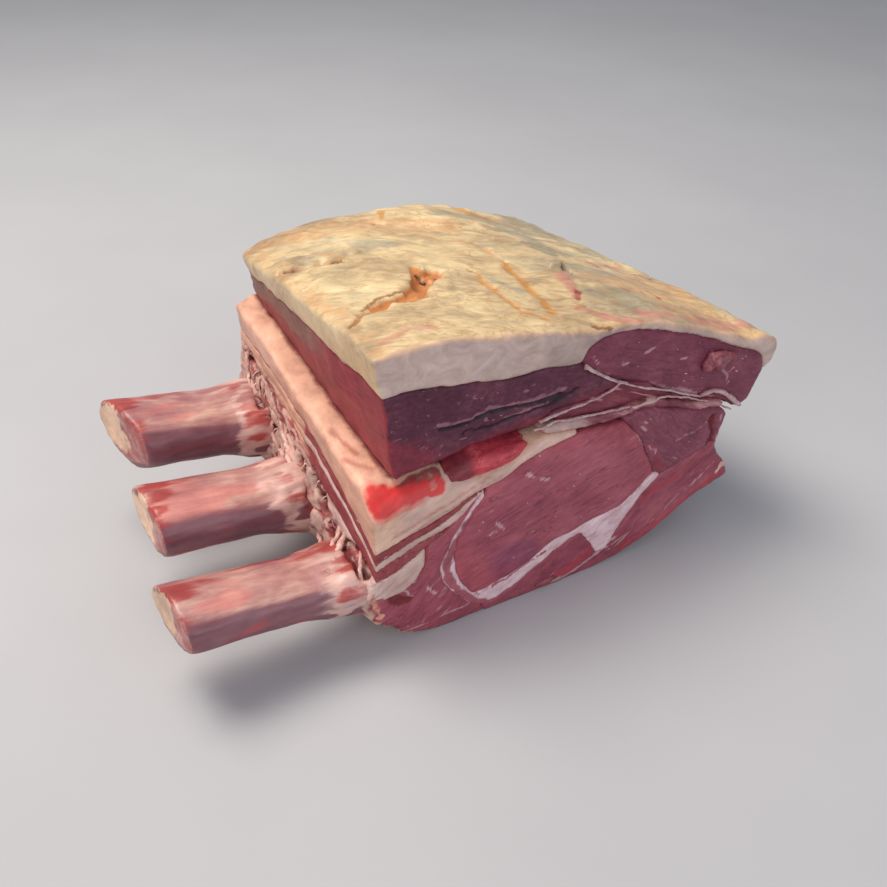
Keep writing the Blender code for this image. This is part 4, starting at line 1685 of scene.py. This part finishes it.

# crease marks carve creases and paint shade in them
FAT_MARKS = (
    Mark(TOP, ((-50.0, 29.0), (-38.0, 27.0), (-22.0, 23.0)), (10.0, 6.0), depth=2.4, soft=0.95),
    Mark(TOP, FOLD, (1.7, 1.2), Paint.CREASE, depth=-2.4, ragged=0.5, soft=0.7),
    Mark(TOP, FOLD, (3.4, 2.6), Paint.TAN, 0.8, ragged=1.0, soft=0.9),
    Mark(TOP, ((-40.0, 30.0), (-25.5, 16.0)), (2.6, 2.0), Paint.TAN, 0.9, depth=-0.6, ragged=1.4,
         soft=0.9),
    Mark(TOP, ((-10.0, -29.0), (6.0, -12.0)), (7.0, 5.0), depth=1.4, soft=0.95),
    Mark(TOP, GOUGE, (3.4, 7.6), Paint.PIT, depth=-3.4, ragged=2.2, soft=0.5),
    Mark(TOP, ((-13.0, -20.0), (-7.5, -5.0)), (5.0, 3.2), Paint.PIT, depth=-1.6, ragged=1.6),
    Mark(TOP, ((-16.0, -23.0), (-9.0, -13.0)), (4.0, 3.6), Paint.BLOOD, 0.6, ragged=2.0,
         soft=0.95),
    # carved holes painted near-black as painted shade
    Mark(TOP, ((-8.6, -10.0), (-8.2, -15.5)), (2.0, 1.7), Paint.HOLE, 0.95, depth=-1.4, ragged=1.2,
         soft=0.7),
    Mark(TOP, ((-3.0, -12.5), (-6.2, -20.0)), (1.9, 1.6), Paint.HOLE, 0.95, depth=-1.2, ragged=1.2,
         soft=0.7),
    Mark(TOP, ((-23.5, -35.6), (-16.5, -35.4)), (1.6, 1.3), Paint.HOLE, 0.8, depth=-0.8,
         ragged=0.9, soft=0.7),
    Mark(TOP, ((-46.0, -34.6), (-34.0, -26.4), (-22.0, -24.6)), (1.5, 1.1), Paint.CREASE, 0.8,
         depth=-0.8, ragged=0.9, soft=0.7),
    Mark(TOP, ((-45.6, -38.5), (-56.5, -47.5)), (2.0, 1.3), Paint.CREASE, 0.8, depth=-1.2,
         soft=0.8),
    Mark(TOP, ((-52.0, -38.0), (-56.0, -20.0), (-52.0, -4.0)), (8.0, 5.0), Paint.TAN, 0.85,
         ragged=4.0, soft=0.9),
    Mark(TOP, ((3.0, 57.0), (7.0, 54.6)), (1.7, 1.4), Paint.CREASE, depth=-1.6, ragged=0.4),
    Mark(TOP, ((14.0, 73.0), (9.0, 62.0)), (2.8, 1.6), Paint.AMBER, 0.75, ragged=1.6),
    Mark(TOP, ((20.0, 60.0), (32.0, 50.0), (44.0, 44.0)), (3.0, 2.0), Paint.TAN, 0.9, ragged=2.5),
    Mark(TOP, ((60.0, 74.0), (68.0, 66.0), (71.0, 57.0)), (7.0, 3.5), Paint.AMBER, depth=-0.8,
         ragged=2.0),
    Mark(TOP, ((48.5, 37.4), (52.5, 34.0)), (1.8, 1.4), Paint.CREASE, depth=-1.6, ragged=0.4),
    Mark(TOP, ((0.0, 40.0), (14.0, 34.0), (26.0, 27.0), (35.0, 20.8), (37.0, -2.5)), (2.4, 2.2),
         Paint.TAN, depth=-0.4, ragged=1.8, soft=0.8),
    Mark(TOP, AMBER_LEFT, (4.4, 6.4), Paint.TAN, 0.8, ragged=3.0, soft=0.95),
    Mark(TOP, AMBER_RIGHT, (4.0, 7.0), Paint.TAN, 0.85, ragged=3.0, soft=0.95),
    Mark(TOP, AMBER_LEFT, (1.7, 3.0), Paint.AMBER, 0.72, depth=-0.5, ragged=2.2, soft=0.85),
    Mark(TOP, AMBER_RIGHT, (1.7, 3.8), Paint.AMBER, 0.85, depth=-0.5, ragged=2.0, soft=0.8),
    Mark(TOP, ((17.0, -8.0), (18.0, -12.0)), (1.1, 0.9), Paint.CREASE, 0.9, depth=-0.9, ragged=0.4,
         soft=0.7),
    Mark(TOP, ((18.0, -63.0), (28.0, -57.0)), (4.5, 3.5), Paint.TAN, ragged=2.0, soft=0.9),
    Mark(TOP, ((-14.0, 30.0), (-4.0, 27.0)), (11.0, 9.0), Paint.GREEN, 0.8, ragged=4.0, soft=0.9),
    Mark(TOP, ((20.0, -22.0), (24.0, -40.0)), (6.0, 5.0), Paint.GREEN, 0.7, ragged=3.0, soft=0.9),
    # green on the right slope: patches and painted shade
    Mark(TOP, ((66.0, 52.0), (72.0, 36.0), (68.0, 8.0)), (9.0, 10.0), Paint.GREEN, ragged=5.0,
         soft=0.8),
    Mark(TOP, ((80.0, -24.0), (104.0, -30.0)), (10.0, 8.0), Paint.GREEN, 0.6, ragged=5.0,
         soft=0.9),
    Mark(TOP, ((57.0, -12.5), (60.0, -14.5)), (4.2, 3.6), depth=2.6, soft=0.9),
    # a carved hole painted near-black as painted shade
    Mark(TOP, ((62.0, -17.4), (63.5, -20.5)), (2.6, 2.2), Paint.HOLE, depth=-3.4),
    Mark(TOP, ((57.0, -21.0), (53.4, -26.0), (50.0, -38.0), (47.0, -46.0)), (5.0, 4.0), Paint.PINK,
         0.95, depth=0.6, ragged=2.5, soft=0.8),
    Mark(TOP, ((51.0, -41.0), (46.0, -47.0)), (1.8, 1.4), Paint.BLOOD, 0.8, depth=-0.8),
    Mark(TOP, ((78.0, -36.0), (79.5, -38.5)), (2.0, 1.6), Paint.BLOOD, 0.9, depth=-0.5,
         ragged=0.6),
    Mark(TOP, ((97.0, -35.0), (98.5, -38.5)), (2.4, 2.0), Paint.BLOOD, depth=-0.8, ragged=0.6),
    Mark(TOP, ((86.0, -2.0), (112.0, 6.0)), (6.0, 4.0), Paint.PINK, 0.75, ragged=3.0, soft=0.9),
    Mark(TOP, ((112.0, 0.0), (120.0, -8.0)), (2.2, 1.6), Paint.BLOOD, 0.7, ragged=1.2),
    Mark(TOP, ((40.0, -57.0), (49.0, -66.0), (56.0, -72.0)), (6.0, 6.0), Paint.PINK, depth=0.8,
         ragged=2.0),
    Mark(TOP, ((44.0, -56.0), (52.0, -66.0)), (1.6, 1.4), Paint.RIM, depth=-0.8),
    Mark(TOP, ((37.0, -70.5), (43.0, -72.5)), (1.9, 1.5), Paint.CREASE, depth=-1.4, ragged=0.6),
    Mark(TOP, ((66.0, -68.0), (100.0, -66.0), (132.0, -60.0)), (8.0, 11.0), Paint.PINK, 0.8,
         ragged=4.0, soft=0.9),
    Mark(TOP, ((-50.0, -64.0), (-38.0, -60.0), (-28.0, -62.0)), (5.0, 3.0), Paint.PINK, 0.6,
         depth=-0.5, ragged=3.0, soft=0.9),
    Mark(NEAR, ((-18.5, 119.2), (-14.0, 121.4), (-9.0, 124.0), (-6.0, 126.5)), (1.2, 0.9),
         Paint.GREEN, 0.9, ragged=1.6),
)
CAP_MARKS = (
    # creases carved and painted dark as painted shade, with pale threads beside them
    Mark(NEAR, ((-33.4, 100.0), (-24.0, 99.4), (-11.4, 101.4), (6.2, 100.2), (22.0, 100.2)),
         (1.3, 1.3), Paint.CREASE, depth=-1.6, ragged=0.5, soft=0.5),
    Mark(NEAR, ((-34.5, 102.4), (-24.0, 101.8), (-11.4, 103.6), (6.2, 102.2), (24.0, 102.6)),
         (1.1, 1.1), Paint.MEMBRANE, 0.9, depth=0.5, ragged=0.6),
    Mark(NEAR, ((-22.0, 95.4), (-8.0, 94.8), (5.0, 95.8), (18.0, 97.8), (30.0, 100.4)), (1.0, 1.4),
         Paint.CREASE, 0.9, depth=-1.2, ragged=0.6, soft=0.5),
    Mark(NEAR, ((-4.0, 97.2), (8.0, 97.6), (20.0, 99.6)), (0.9, 0.9), Paint.MEMBRANE, 0.8,
         depth=0.4, ragged=0.6),
    Mark(NEAR, ((-42.0, 96.0), (-38.0, 93.4)), (1.2, 0.8), Paint.MEMBRANE, 0.7),
)
BLOCK_MARKS = (
    Mark(TOP, ((-59.0, -72.6), (-56.5, -74.6)), (6.6, 6.0), Paint.BLOOD, ragged=2.4, soft=0.95),
    Mark(TOP, ((-52.0, -75.0), (-46.0, -75.6), (-33.0, -75.6)), (5.4, 4.0), Paint.BLOOD,
         ragged=2.4, soft=0.95),
    Mark(TOP, ((-50.0, -72.5), (-34.0, -71.5)), (2.2, 3.0), Paint.SHADE, 0.9, ragged=1.6),
    Mark(TOP, ((-60.0, -72.0), (-46.0, -74.0), (-32.0, -76.0)), (8.5, 4.0), Paint.BLUSH, 0.9,
         ragged=1.6, soft=0.9),
    Mark(NEAR, ((-59.0, 70.0), (-50.0, 71.4), (-40.0, 72.6)), (4.4, 2.4), Paint.BLUSH, 0.85,
         ragged=1.2, soft=0.9),
    Mark(NEAR, ((-58.6, 72.6), (-50.0, 74.0), (-38.0, 74.6)), (5.0, 2.8), Paint.BLOOD, ragged=2.0,
         soft=0.95),
    Mark(NEAR, ((-54.0, 59.4), (-43.0, 63.6), (-32.0, 67.0), (-21.0, 70.6), (-12.0, 73.6)),
         (0.9, 0.8), Paint.LINE, 0.6, depth=-0.3, ragged=0.5, soft=0.9),
    Mark(NEAR, ((-47.0, 58.6), (-34.0, 63.8), (-21.0, 68.0), (-8.0, 73.0)), (0.8, 0.7), Paint.LINE,
         0.5, ragged=0.5, soft=0.9),
    Mark(TOP, ((-61.6, -50.0), (-58.0, -56.0), (-54.6, -61.0)), (1.9, 1.6), Paint.LINE, 0.7,
         ragged=0.4, soft=0.95),
    Mark(TOP, ((-58.8, -31.7), (-57.6, -41.0), (-55.8, -50.0)), (2.0, 1.7), Paint.LINE, 0.8,
         ragged=0.4, soft=0.95),
)
# pockets carved in the rib side and painted dark red as painted shade
POCKETS = (
    Mark(RIB, ((58.0, 70.0), (48.0, 66.5), (42.0, 62.0), (36.0, 56.5), (28.0, 50.0)), (3.6, 6.0),
         Paint.POCKET, depth=-4.6, ragged=1.8, soft=0.5),
    Mark(RIB, ((-8.0, 54.0), (-13.0, 50.0)), (3.0, 2.4), Paint.POCKET, depth=-2.6, ragged=1.2),
    Mark(RIB, ((-20.0, 53.0), (-28.0, 48.0), (-37.0, 42.0), (-44.0, 37.0)), (3.0, 6.6),
         Paint.POCKET, depth=-4.6, ragged=1.8, soft=0.5),
    Mark(RIB, ((-52.0, 43.0), (-60.0, 43.6), (-70.0, 40.5)), (3.4, 4.6), Paint.POCKET, depth=-4.6,
         ragged=1.4, soft=0.5),
)
BONE_MARKS = (
    Mark(TOP, ((-65.0, -57.0), (-66.0, -64.0), (-64.0, -71.0)), (3.4, 4.2), Paint.RIM, depth=-2.6,
         ragged=1.4),
    Mark(TOP, ((-64.0, -16.0), (-65.0, -24.0)), (2.6, 3.4), Paint.RIM, 0.9, depth=-1.6,
         ragged=1.4),
    Mark(TOP, ((-64.0, 48.0), (-65.0, 36.0)), (2.6, 3.6), Paint.RIM, 0.9, depth=-1.8, ragged=1.4),
)
OVAL_MARKS = (
    Mark(NEAR, ((34.4, 108.0), (49.6, 98.4), (60.9, 92.4), (77.0, 86.6), (96.0, 78.4)), (2.2, 2.0),
         Paint.MEMBRANE, 0.8, soft=0.8),
    Mark(NEAR, ((50.0, 106.4), (52.6, 105.2)), (0.9, 0.5), Paint.MEMBRANE),
    Mark(NEAR, ((62.0, 108.4), (66.5, 108.6)), (1.5, 1.1), Paint.MEMBRANE, ragged=1.2),
    Mark(NEAR, ((81.0, 99.8), (84.6, 99.2)), (1.0, 0.8), Paint.MEMBRANE, ragged=1.0),
    Mark(NEAR, ((36.0, 113.5), (38.0, 110.5)), (0.9, 0.7), Paint.MEMBRANE, ragged=0.9),
    Mark(NEAR, ((108.0, 89.0), (112.6, 84.0), (114.4, 80.0)), (0.7, 0.9), Paint.MEMBRANE, 0.9,
         ragged=1.0),
    Mark(NEAR, ((112.8, 84.0), (117.0, 87.5)), (0.7, 0.6), Paint.MEMBRANE, 0.8),
)
EYE_MARKS = (
    Mark(NEAR, ((4.5, 70.6), (8.2, 67.6)), (1.1, 0.9), Paint.MEMBRANE, ragged=1.2),
    Mark(NEAR, ((11.6, 66.0), (15.4, 64.6)), (1.5, 0.9), Paint.MEMBRANE, ragged=1.2),
    Mark(NEAR, ((-7.6, 48.4), (-4.4, 45.0)), (1.5, 0.9), Paint.MEMBRANE, 0.9, ragged=1.3),
    Mark(NEAR, ((-8.0, 44.6), (-5.4, 46.4)), (0.8, 0.6), Paint.MEMBRANE, 0.8),
    Mark(NEAR, ((60.0, 76.0), (63.4, 67.0), (70.0, 60.0), (75.6, 47.0)), (0.9, 1.1),
         Paint.MEMBRANE, 0.7, ragged=0.9),
)
SPINALIS_MARKS = (
    Mark(NEAR, ((72.0, 62.0), (75.0, 52.0), (80.0, 47.0)), (2.6, 2.4), Paint.RED, 0.9, ragged=1.5),
    Mark(NEAR, ((72.4, 60.4), (73.8, 57.0)), (1.0, 0.8), Paint.MEMBRANE, 0.9),
    Mark(NEAR, ((83.0, 60.0), (93.0, 62.0), (104.0, 64.0)), (0.7, 0.7), Paint.MEMBRANE, 0.7,
         depth=-0.5, ragged=1.2),
    # a carved hole painted dark as painted shade
    Mark(NEAR, ((104.0, 66.0), (106.5, 57.0), (106.0, 49.0)), (2.6, 2.0), Paint.HOLE, depth=-2.4,
         ragged=1.0),
    Mark(NEAR, ((109.6, 66.0), (111.0, 58.0), (109.5, 52.0)), (1.3, 1.0), Paint.MEMBRANE, 0.9),
)
CHAIN_MARKS = (
    Mark(NEAR, ((28.0, 3.0), (38.0, 8.0), (44.0, 14.0), (48.0, 20.0)), (4.2, 3.0), Paint.RED, 0.95,
         depth=0.4, ragged=1.8),
    Mark(NEAR, ((24.0, 1.5), (34.0, 2.4), (44.0, 6.6), (52.0, 9.6), (57.0, 14.0)), (0.9, 1.3),
         Paint.MEMBRANE, 0.95, ragged=1.0),
    Mark(NEAR, ((44.6, 15.4), (52.6, 12.0), (55.6, 8.0)), (0.6, 0.8), Paint.MEMBRANE, 0.8),
    Mark(NEAR, ((70.0, 32.0), (84.0, 38.0), (96.0, 42.0)), (2.4, 2.6), Paint.RED, 0.7, ragged=2.0),
    Mark(NEAR, ((86.0, 20.0), (98.0, 29.0), (112.0, 38.0)), (0.8, 0.8), Paint.MEMBRANE, 0.6,
         depth=-0.5, ragged=1.2),
    Mark(NEAR, ((60.0, 4.0), (84.0, 14.0), (104.0, 24.0), (118.0, 32.0)), (2.6, 2.8), Paint.RED,
         0.8, ragged=2.0),
)
SEAM_MARKS = (
    Mark(NEAR, ((-8.0, 13.0), (4.0, 16.0), (18.0, 22.0)), (0.8, 0.9), Paint.RED, 0.9, depth=-0.4,
         ragged=1.2),
    Mark(NEAR, ((-22.0, 20.0), (-14.0, 11.0)), (0.9, 0.9), Paint.RED, 0.8, depth=-0.4, ragged=1.0),
    Mark(NEAR, ((-17.4, 59.0), (-25.4, 49.0), (-29.0, 41.0), (-31.0, 34.0), (-29.4, 25.0),
         (-23.4, 14.6), (-16.0, 7.6), (-8.0, 4.0)), (2.6, 3.6), Paint.RED, depth=-0.3, ragged=1.4,
         soft=0.7),
)
CORNER_MARKS = (
    # a carved pocket painted dark as painted shade
    Mark(NEAR, ((-56.0, 27.5), (-52.0, 25.0), (-47.0, 24.0)), (3.0, 2.2), Paint.POCKET, 0.9,
         depth=-1.4, ragged=1.4),
    Mark(NEAR, ((-52.5, 31.0), (-49.0, 29.0), (-46.0, 24.0)), (0.9, 0.7), Paint.MEMBRANE, 0.9,
         depth=0.4, ragged=1.4),
    Mark(NEAR, ((-40.0, 27.0), (-36.4, 22.0)), (1.2, 1.0), Paint.MEMBRANE, 0.8, ragged=1.2),
)


def tissues() -> list[Tissue]:
    """List every tissue of the roast.

    Returns:
        The tissues, each with its size, looks and marks.
    """
    thin = {"voxel": 0.95, "swell": 0.4, "relax": 6, "wave": 0.25, "wave_size": 7.0}
    return [
        BackFat("cap_fat", "back_fat", BACK_FAT, 1.15, wave=0.2, marks=FAT_MARKS),
        CapMuscle("cap_muscle", "cap_lean", CAP_LEAN, 1.15, marks=CAP_MARKS),
        Tissue("cap_oval", "oval_lean", OVAL_LEAN, marks=OVAL_MARKS),
        Tissue("cap_flap", "flap_lean", FLAP_LEAN, 1.0, wave=0.6, wave_size=6.0),
        FoldFat("flap_fat", "flap_fat", FOLD_FAT, 0.95, wave=0.6, wave_size=6.0),
        CoverFat("lower_fat", "cover_fat", COVER_FAT, 1.1, marks=BLOCK_MARKS),
        Tongue("lean_tongue", "tongue_lean", TONGUE_LEAN, 1.0),
        Layers("lean_strip_upper", "strip_lean", STRIP_LEAN, marks=POCKETS, **thin),
        Layers("lean_strip_lower", "strip_lean", STRIP_LEAN, marks=POCKETS, **thin),
        Layers("strip_fat", "layer_fat", LAYER_FAT, marks=POCKETS, **thin),
        Layers("side_fat", "layer_fat", LAYER_FAT, marks=POCKETS, **thin),
        Tissue("seam_fat", "seam_fat", SEAM_FAT, 1.0, marks=SEAM_MARKS),
        EyeMuscle("rib_eye", "eye_lean", EYE_LEAN, marks=EYE_MARKS),
        Tissue("spinalis", "spinalis_lean", SPINALIS_LEAN, marks=SPINALIS_MARKS),
        Tissue("chain_muscle", "chain_lean", CHAIN_LEAN, marks=CHAIN_MARKS),
        SideMuscle("side_muscle", "side_lean", SIDE_LEAN, 1.15, marks=POCKETS + CORNER_MARKS),
    ] + [RibBone(f"rib_bone_{k}", "bone", BONE_SKIN, 1.15, 0.25, 8, 0.15, wander=False, index=k,
                 marks=BONE_MARKS)
         for k in RIBS]


def near_face(route: Sequence[Point], thick: tuple[float, float], y: float = -74.4) -> Thread:
    """A thread on the near face from (x, z) points."""
    return Thread(tuple((x, y, z) for x, z in route), thick)


MEMBRANES = (
    near_face(((34.0, 108.0), (42.0, 102.6), (49.6, 98.0), (60.9, 92.4), (77.0, 86.2),
               (90.0, 80.4), (98.0, 77.4)), (0.6, 0.9)),
    near_face(((32.0, 110.0), (36.0, 106.8), (42.0, 102.8), (49.6, 98.2), (55.0, 95.6)),
              (1.7, 0.5), -73.8),
    near_face(((98.0, 77.6), (104.8, 78.2), (112.0, 75.0), (117.8, 70.0), (123.4, 65.6)),
              (1.2, 2.3)),
    near_face(((12.0, 90.4), (26.0, 91.8), (38.8, 92.8), (47.5, 95.4), (50.5, 97.4)),
              (0.9, 0.5)),
    near_face(((9.0, 87.8), (20.0, 88.2), (40.0, 85.8), (60.0, 84.0), (74.0, 84.2), (88.0, 80.2),
               (99.0, 75.2), (110.0, 69.6), (118.0, 64.6)), (0.8, 0.6), -75.2),
)
TATTER_THREADS = (
    Thread(((-61.0, -12.0, 52.0), (-63.6, -16.0, 47.0), (-66.4, -20.0, 42.6),
            (-67.4, -22.0, 39.0), (-65.6, -24.0, 36.4)), (1.0, 0.8)),
    Thread(((-62.0, -17.0, 50.0), (-65.0, -22.0, 44.0), (-66.0, -26.0, 36.0),
            (-66.4, -30.0, 29.0), (-68.0, -37.0, 28.0)), (0.8, 1.2)),
    Thread(((-60.0, -49.0, 47.0), (-64.4, -52.0, 43.6), (-68.6, -56.0, 42.0),
            (-73.0, -61.0, 41.6), (-78.0, -66.0, 40.6)), (1.3, 1.7)),
    Thread(((-61.0, -44.0, 46.0), (-66.0, -50.0, 43.0), (-71.0, -54.0, 41.6)), (0.8, 1.1)),
    Thread(((-62.0, -64.0, 46.0), (-65.4, -70.0, 40.0), (-65.6, -74.0, 33.0),
            (-63.6, -77.4, 27.0)), (0.8, 1.0)),
    Thread(((-60.6, 61.0, 76.0), (-63.2, 60.0, 69.0), (-64.0, 57.0, 61.0),
            (-66.6, 50.0, 56.6)), (1.2, 0.9)),
    Thread(((-61.0, 56.0, 66.0), (-64.0, 50.0, 58.0), (-67.0, 44.0, 57.0)), (0.8, 1.1)),
    Thread(((-62.0, 30.0, 54.0), (-65.4, 26.0, 47.0), (-64.4, 20.0, 41.0),
            (-66.4, 10.0, 46.0), (-69.4, 2.0, 49.0)), (0.9, 1.2)),
    Thread(((-61.4, 22.0, 62.0), (-64.0, 14.0, 55.0), (-65.4, 4.0, 51.6),
            (-68.6, -4.0, 50.0)), (1.0, 1.3)),
)


def sinews(count: int = 52, seed: int = 7, start_x: float = -60.6) -> tuple[Thread, ...]:
    """Fine strings that hang along the torn line of the rib side.

    Args:
        count: How many strings.
        seed: Picks their places.
        start_x: Where they leave the torn side, mm.

    Returns:
        The strings.
    """
    pick = np.random.default_rng(seed)
    threads = []
    for _ in range(count):
        y = pick.uniform(-74.0, 62.0)
        top = np.interp(y, TORN_Y, STRING_Z) - pick.uniform(0.0, 15.0)
        drop, sway, bow = pick.uniform(5.0, 13.0), pick.uniform(-7.0, 5.0), pick.uniform(2.0, 4.6)
        steps = np.linspace(0.0, 1.0, 5)
        route = tuple((start_x - bow * math.sin(2.8 * s), y + sway * s, top - drop * s)
                      for s in steps)
        threads.append(Thread(route, (pick.uniform(0.3, 0.75), pick.uniform(0.2, 0.55))))
    return tuple(threads)


FAT_TAG = (
    Lump((103.0, -75.4, 95.0), (7.4, 2.4, 4.2), (0.0, 24.0, 0.0)),
    Lump((98.0, -75.2, 94.2), (3.4, 2.8, 4.2)),
    Lump((109.6, -75.0, 94.0), (6.0, 1.8, 2.6), (0.0, 12.0, 0.0)),
    Lump((104.6, -75.8, 91.2), (4.4, 1.9, 2.0)),
)
CARTILAGE = (
    Lump((-62.6, -77.6, 27.0), (2.4, 2.2, 6.8), (0.0, -14.0, 0.0)),
    Lump((-61.0, -77.6, 20.8), (2.6, 1.7, 2.2)),
    Lump((-65.0, -74.4, 32.6), (1.8, 2.8, 3.6), (24.0, 0.0, 0.0)),
)
EDGE_TAG = (
    Lump((117.6, -77.0, 35.0), (2.6, 2.0, 3.4), (0.0, -24.0, 0.0)),
    Lump((114.6, -77.4, 31.6), (1.8, 1.6, 2.4)),
)
BOTTOM_TAG = (
    Lump((23.0, -77.0, 3.6), (5.6, 3.4, 2.4), (0.0, -8.0, 0.0)),
    Lump((17.6, -78.0, 2.9), (2.6, 2.2, 1.8)),
    Lump((31.0, -77.2, 6.0), (5.4, 1.8, 2.2), (0.0, -24.0, 0.0)),
)
TAG_LEAN = FatFinish(
    "tag_lean", (0.15, 0.026, 0.045), (0.27, 0.055, 0.080), (0.50, 0.20, 0.22), grain=380.0,
    broad=180.0, crease=(0.2, 0.03, 0.04), creases=0.5, coat=0.25,
    tints=(Tint(Paint.RED, (0.24, 0.035, 0.05), 0.6, 300.0, 0.7),))
CARTILAGE_SKIN = FatFinish(
    "cartilage", (0.50, 0.14, 0.11), (0.70, 0.28, 0.21), (0.86, 0.50, 0.38), grain=380.0,
    broad=180.0, crease=(0.4, 0.08, 0.06), creases=0.5, coat=0.25,
    tints=(Tint(Paint.RED, (0.42, 0.09, 0.07), 0.4, 300.0, 0.7),))


def loose_pieces() -> list[Strands | Lumps]:
    """List the membranes, tatters and tags.

    Returns:
        The pieces that replace no node.
    """
    return [
        Strands("cut_membranes", "flap_fat", MEMBRANE, MEMBRANES, 0.6, 1.6, 0.9, 3),
        Strands("rib_tatters", "layer_fat", TATTER, TATTER_THREADS + sinews(), 0.7, 3.4, 0.9, 17),
        Lumps("fat_tag", "oval_lean", TAG_LEAN, FAT_TAG, 1.1, 0.6, 5),
        Lumps("corner_cartilage", "layer_fat", CARTILAGE_SKIN, CARTILAGE, 1.2, 0.7, 9),
        Lumps("edge_tag", "layer_fat", TATTER, EDGE_TAG, 0.9, 0.7, 13),
        Lumps("bottom_tag", "chain_lean", TAG_LEAN, BOTTOM_TAG, 1.3, 0.7, 21),
    ]


def fleck_pieces(made: dict[str, bpy.types.Object]) -> list[Flecks]:
    """List the flecks of fat in the near cut faces.

    Args:
        made: The finished tissues by the name of their node.

    Returns:
        The fleck pieces.
    """
    return [
        Flecks(made["cap_oval"], "oval_lean", MEMBRANE, 9000.0, 20.0, 1.0, 3),
        Flecks(made["rib_eye"], "eye_lean", MEMBRANE, 8000.0, -17.0, 0.9, 5),
        Flecks(made["cap_muscle"], "cap_lean", MEMBRANE, 5000.0, 10.0, 0.7, 7),
    ]


# ---------------------------------------------------------------- the studio
@dataclass(frozen=True)
class Lamp:
    """A soft square light that faces the roast."""

    name: str
    at: Point           # metres
    size: float         # metres
    power: float        # watts
    colour: Colour
    aim: Point = (0.0, 0.0, 0.05)

    def hang(self) -> None:
        """Add the light to the scene."""
        data = bpy.data.lights.new(self.name, "AREA")
        data.shape = "SQUARE"
        data.size = self.size
        data.energy = self.power
        data.color = self.colour
        item = bpy.data.objects.new(self.name, data)
        item.location = self.at
        way = Vector(self.aim) - Vector(self.at)
        item.rotation_euler = way.to_track_quat("-Z", "Y").to_euler()
        bpy.context.scene.collection.objects.link(item)


@dataclass
class Studio:
    """Pale floor, soft lights and the camera."""

    camera_at: Point = (-0.17494, -0.32380, 0.30173)
    azimuth: float = -29.922
    elevation: float = 35.805
    roll: float = 1.57
    lens: float = 38.567
    sensor: float = 36.0
    floor_size: float = 3.0
    sky: Colour = (0.80, 0.84, 0.92)
    sky_strength: float = 0.38
    lamps: tuple[Lamp, ...] = (
        Lamp("key", (-0.35, 0.35, 1.2), 0.7, 15.0, (1.0, 0.93, 0.84)),
        Lamp("side", (-1.2, -0.5, 0.55), 0.8, 4.4, (1.0, 0.93, 0.88)),
        Lamp("front", (0.4, -1.4, 0.7), 1.0, 5.4, (0.90, 0.93, 1.0)),
    )

    def camera(self) -> None:
        """Place the camera at its viewing angle."""
        az, el, roll = (math.radians(a) for a in (self.azimuth, self.elevation, self.roll))
        back = Vector((math.sin(az) * math.cos(el), -math.cos(az) * math.cos(el), math.sin(el)))
        right = Vector((0.0, 0.0, 1.0)).cross(back).normalized()
        up = back.cross(right)
        turned_right = right * math.cos(roll) + up * math.sin(roll)
        turned_up = up * math.cos(roll) - right * math.sin(roll)
        data = bpy.data.cameras.new("camera")
        data.lens = self.lens
        data.sensor_width = self.sensor
        data.clip_start = 0.01
        eye = bpy.data.objects.new("camera", data)
        bpy.context.scene.collection.objects.link(eye)
        turn = Matrix((turned_right, turned_up, back)).transposed().to_4x4()
        eye.matrix_world = Matrix.Translation(self.camera_at) @ turn
        bpy.context.scene.camera = eye

    def floor(self) -> None:
        """Lay the pale floor."""
        work = bmesh.new()
        bmesh.ops.create_grid(work, x_segments=1, y_segments=1, size=self.floor_size)
        mesh = bpy.data.meshes.new("floor")
        work.to_mesh(mesh)
        work.free()
        floor = link("floor", mesh)
        s = Shader("floor_paint", 0.85)
        tone = s.noise(6.0, 3.0)
        colour = s.ramp(tone, ((0.3, (0.50, 0.50, 0.52)), (0.7, (0.53, 0.53, 0.55))))
        floor.data.materials.append(s.done(colour))

    def build(self) -> None:
        """Set up the camera, the lights, the floor and the sky."""
        self.camera()
        self.floor()
        for lamp in self.lamps:
            lamp.hang()
        scene = bpy.context.scene
        world = bpy.data.worlds.new("sky")
        world.use_nodes = True
        sky = world.node_tree.nodes["Background"]
        sky.inputs["Color"].default_value = (*self.sky, 1.0)
        sky.inputs["Strength"].default_value = self.sky_strength
        scene.world = world
        scene.view_settings.view_transform = "Standard"


def main() -> None:
    """Build the roast and its studio, and report each piece."""
    logging.basicConfig(level=logging.INFO, format="%(message)s")
    Studio().build()
    made = {tissue.node: tissue.build() for tissue in tissues()}
    for loose in loose_pieces():
        loose.build()
    for flecks in fleck_pieces(made):
        flecks.build()


if __name__ == "__main__":
    main()
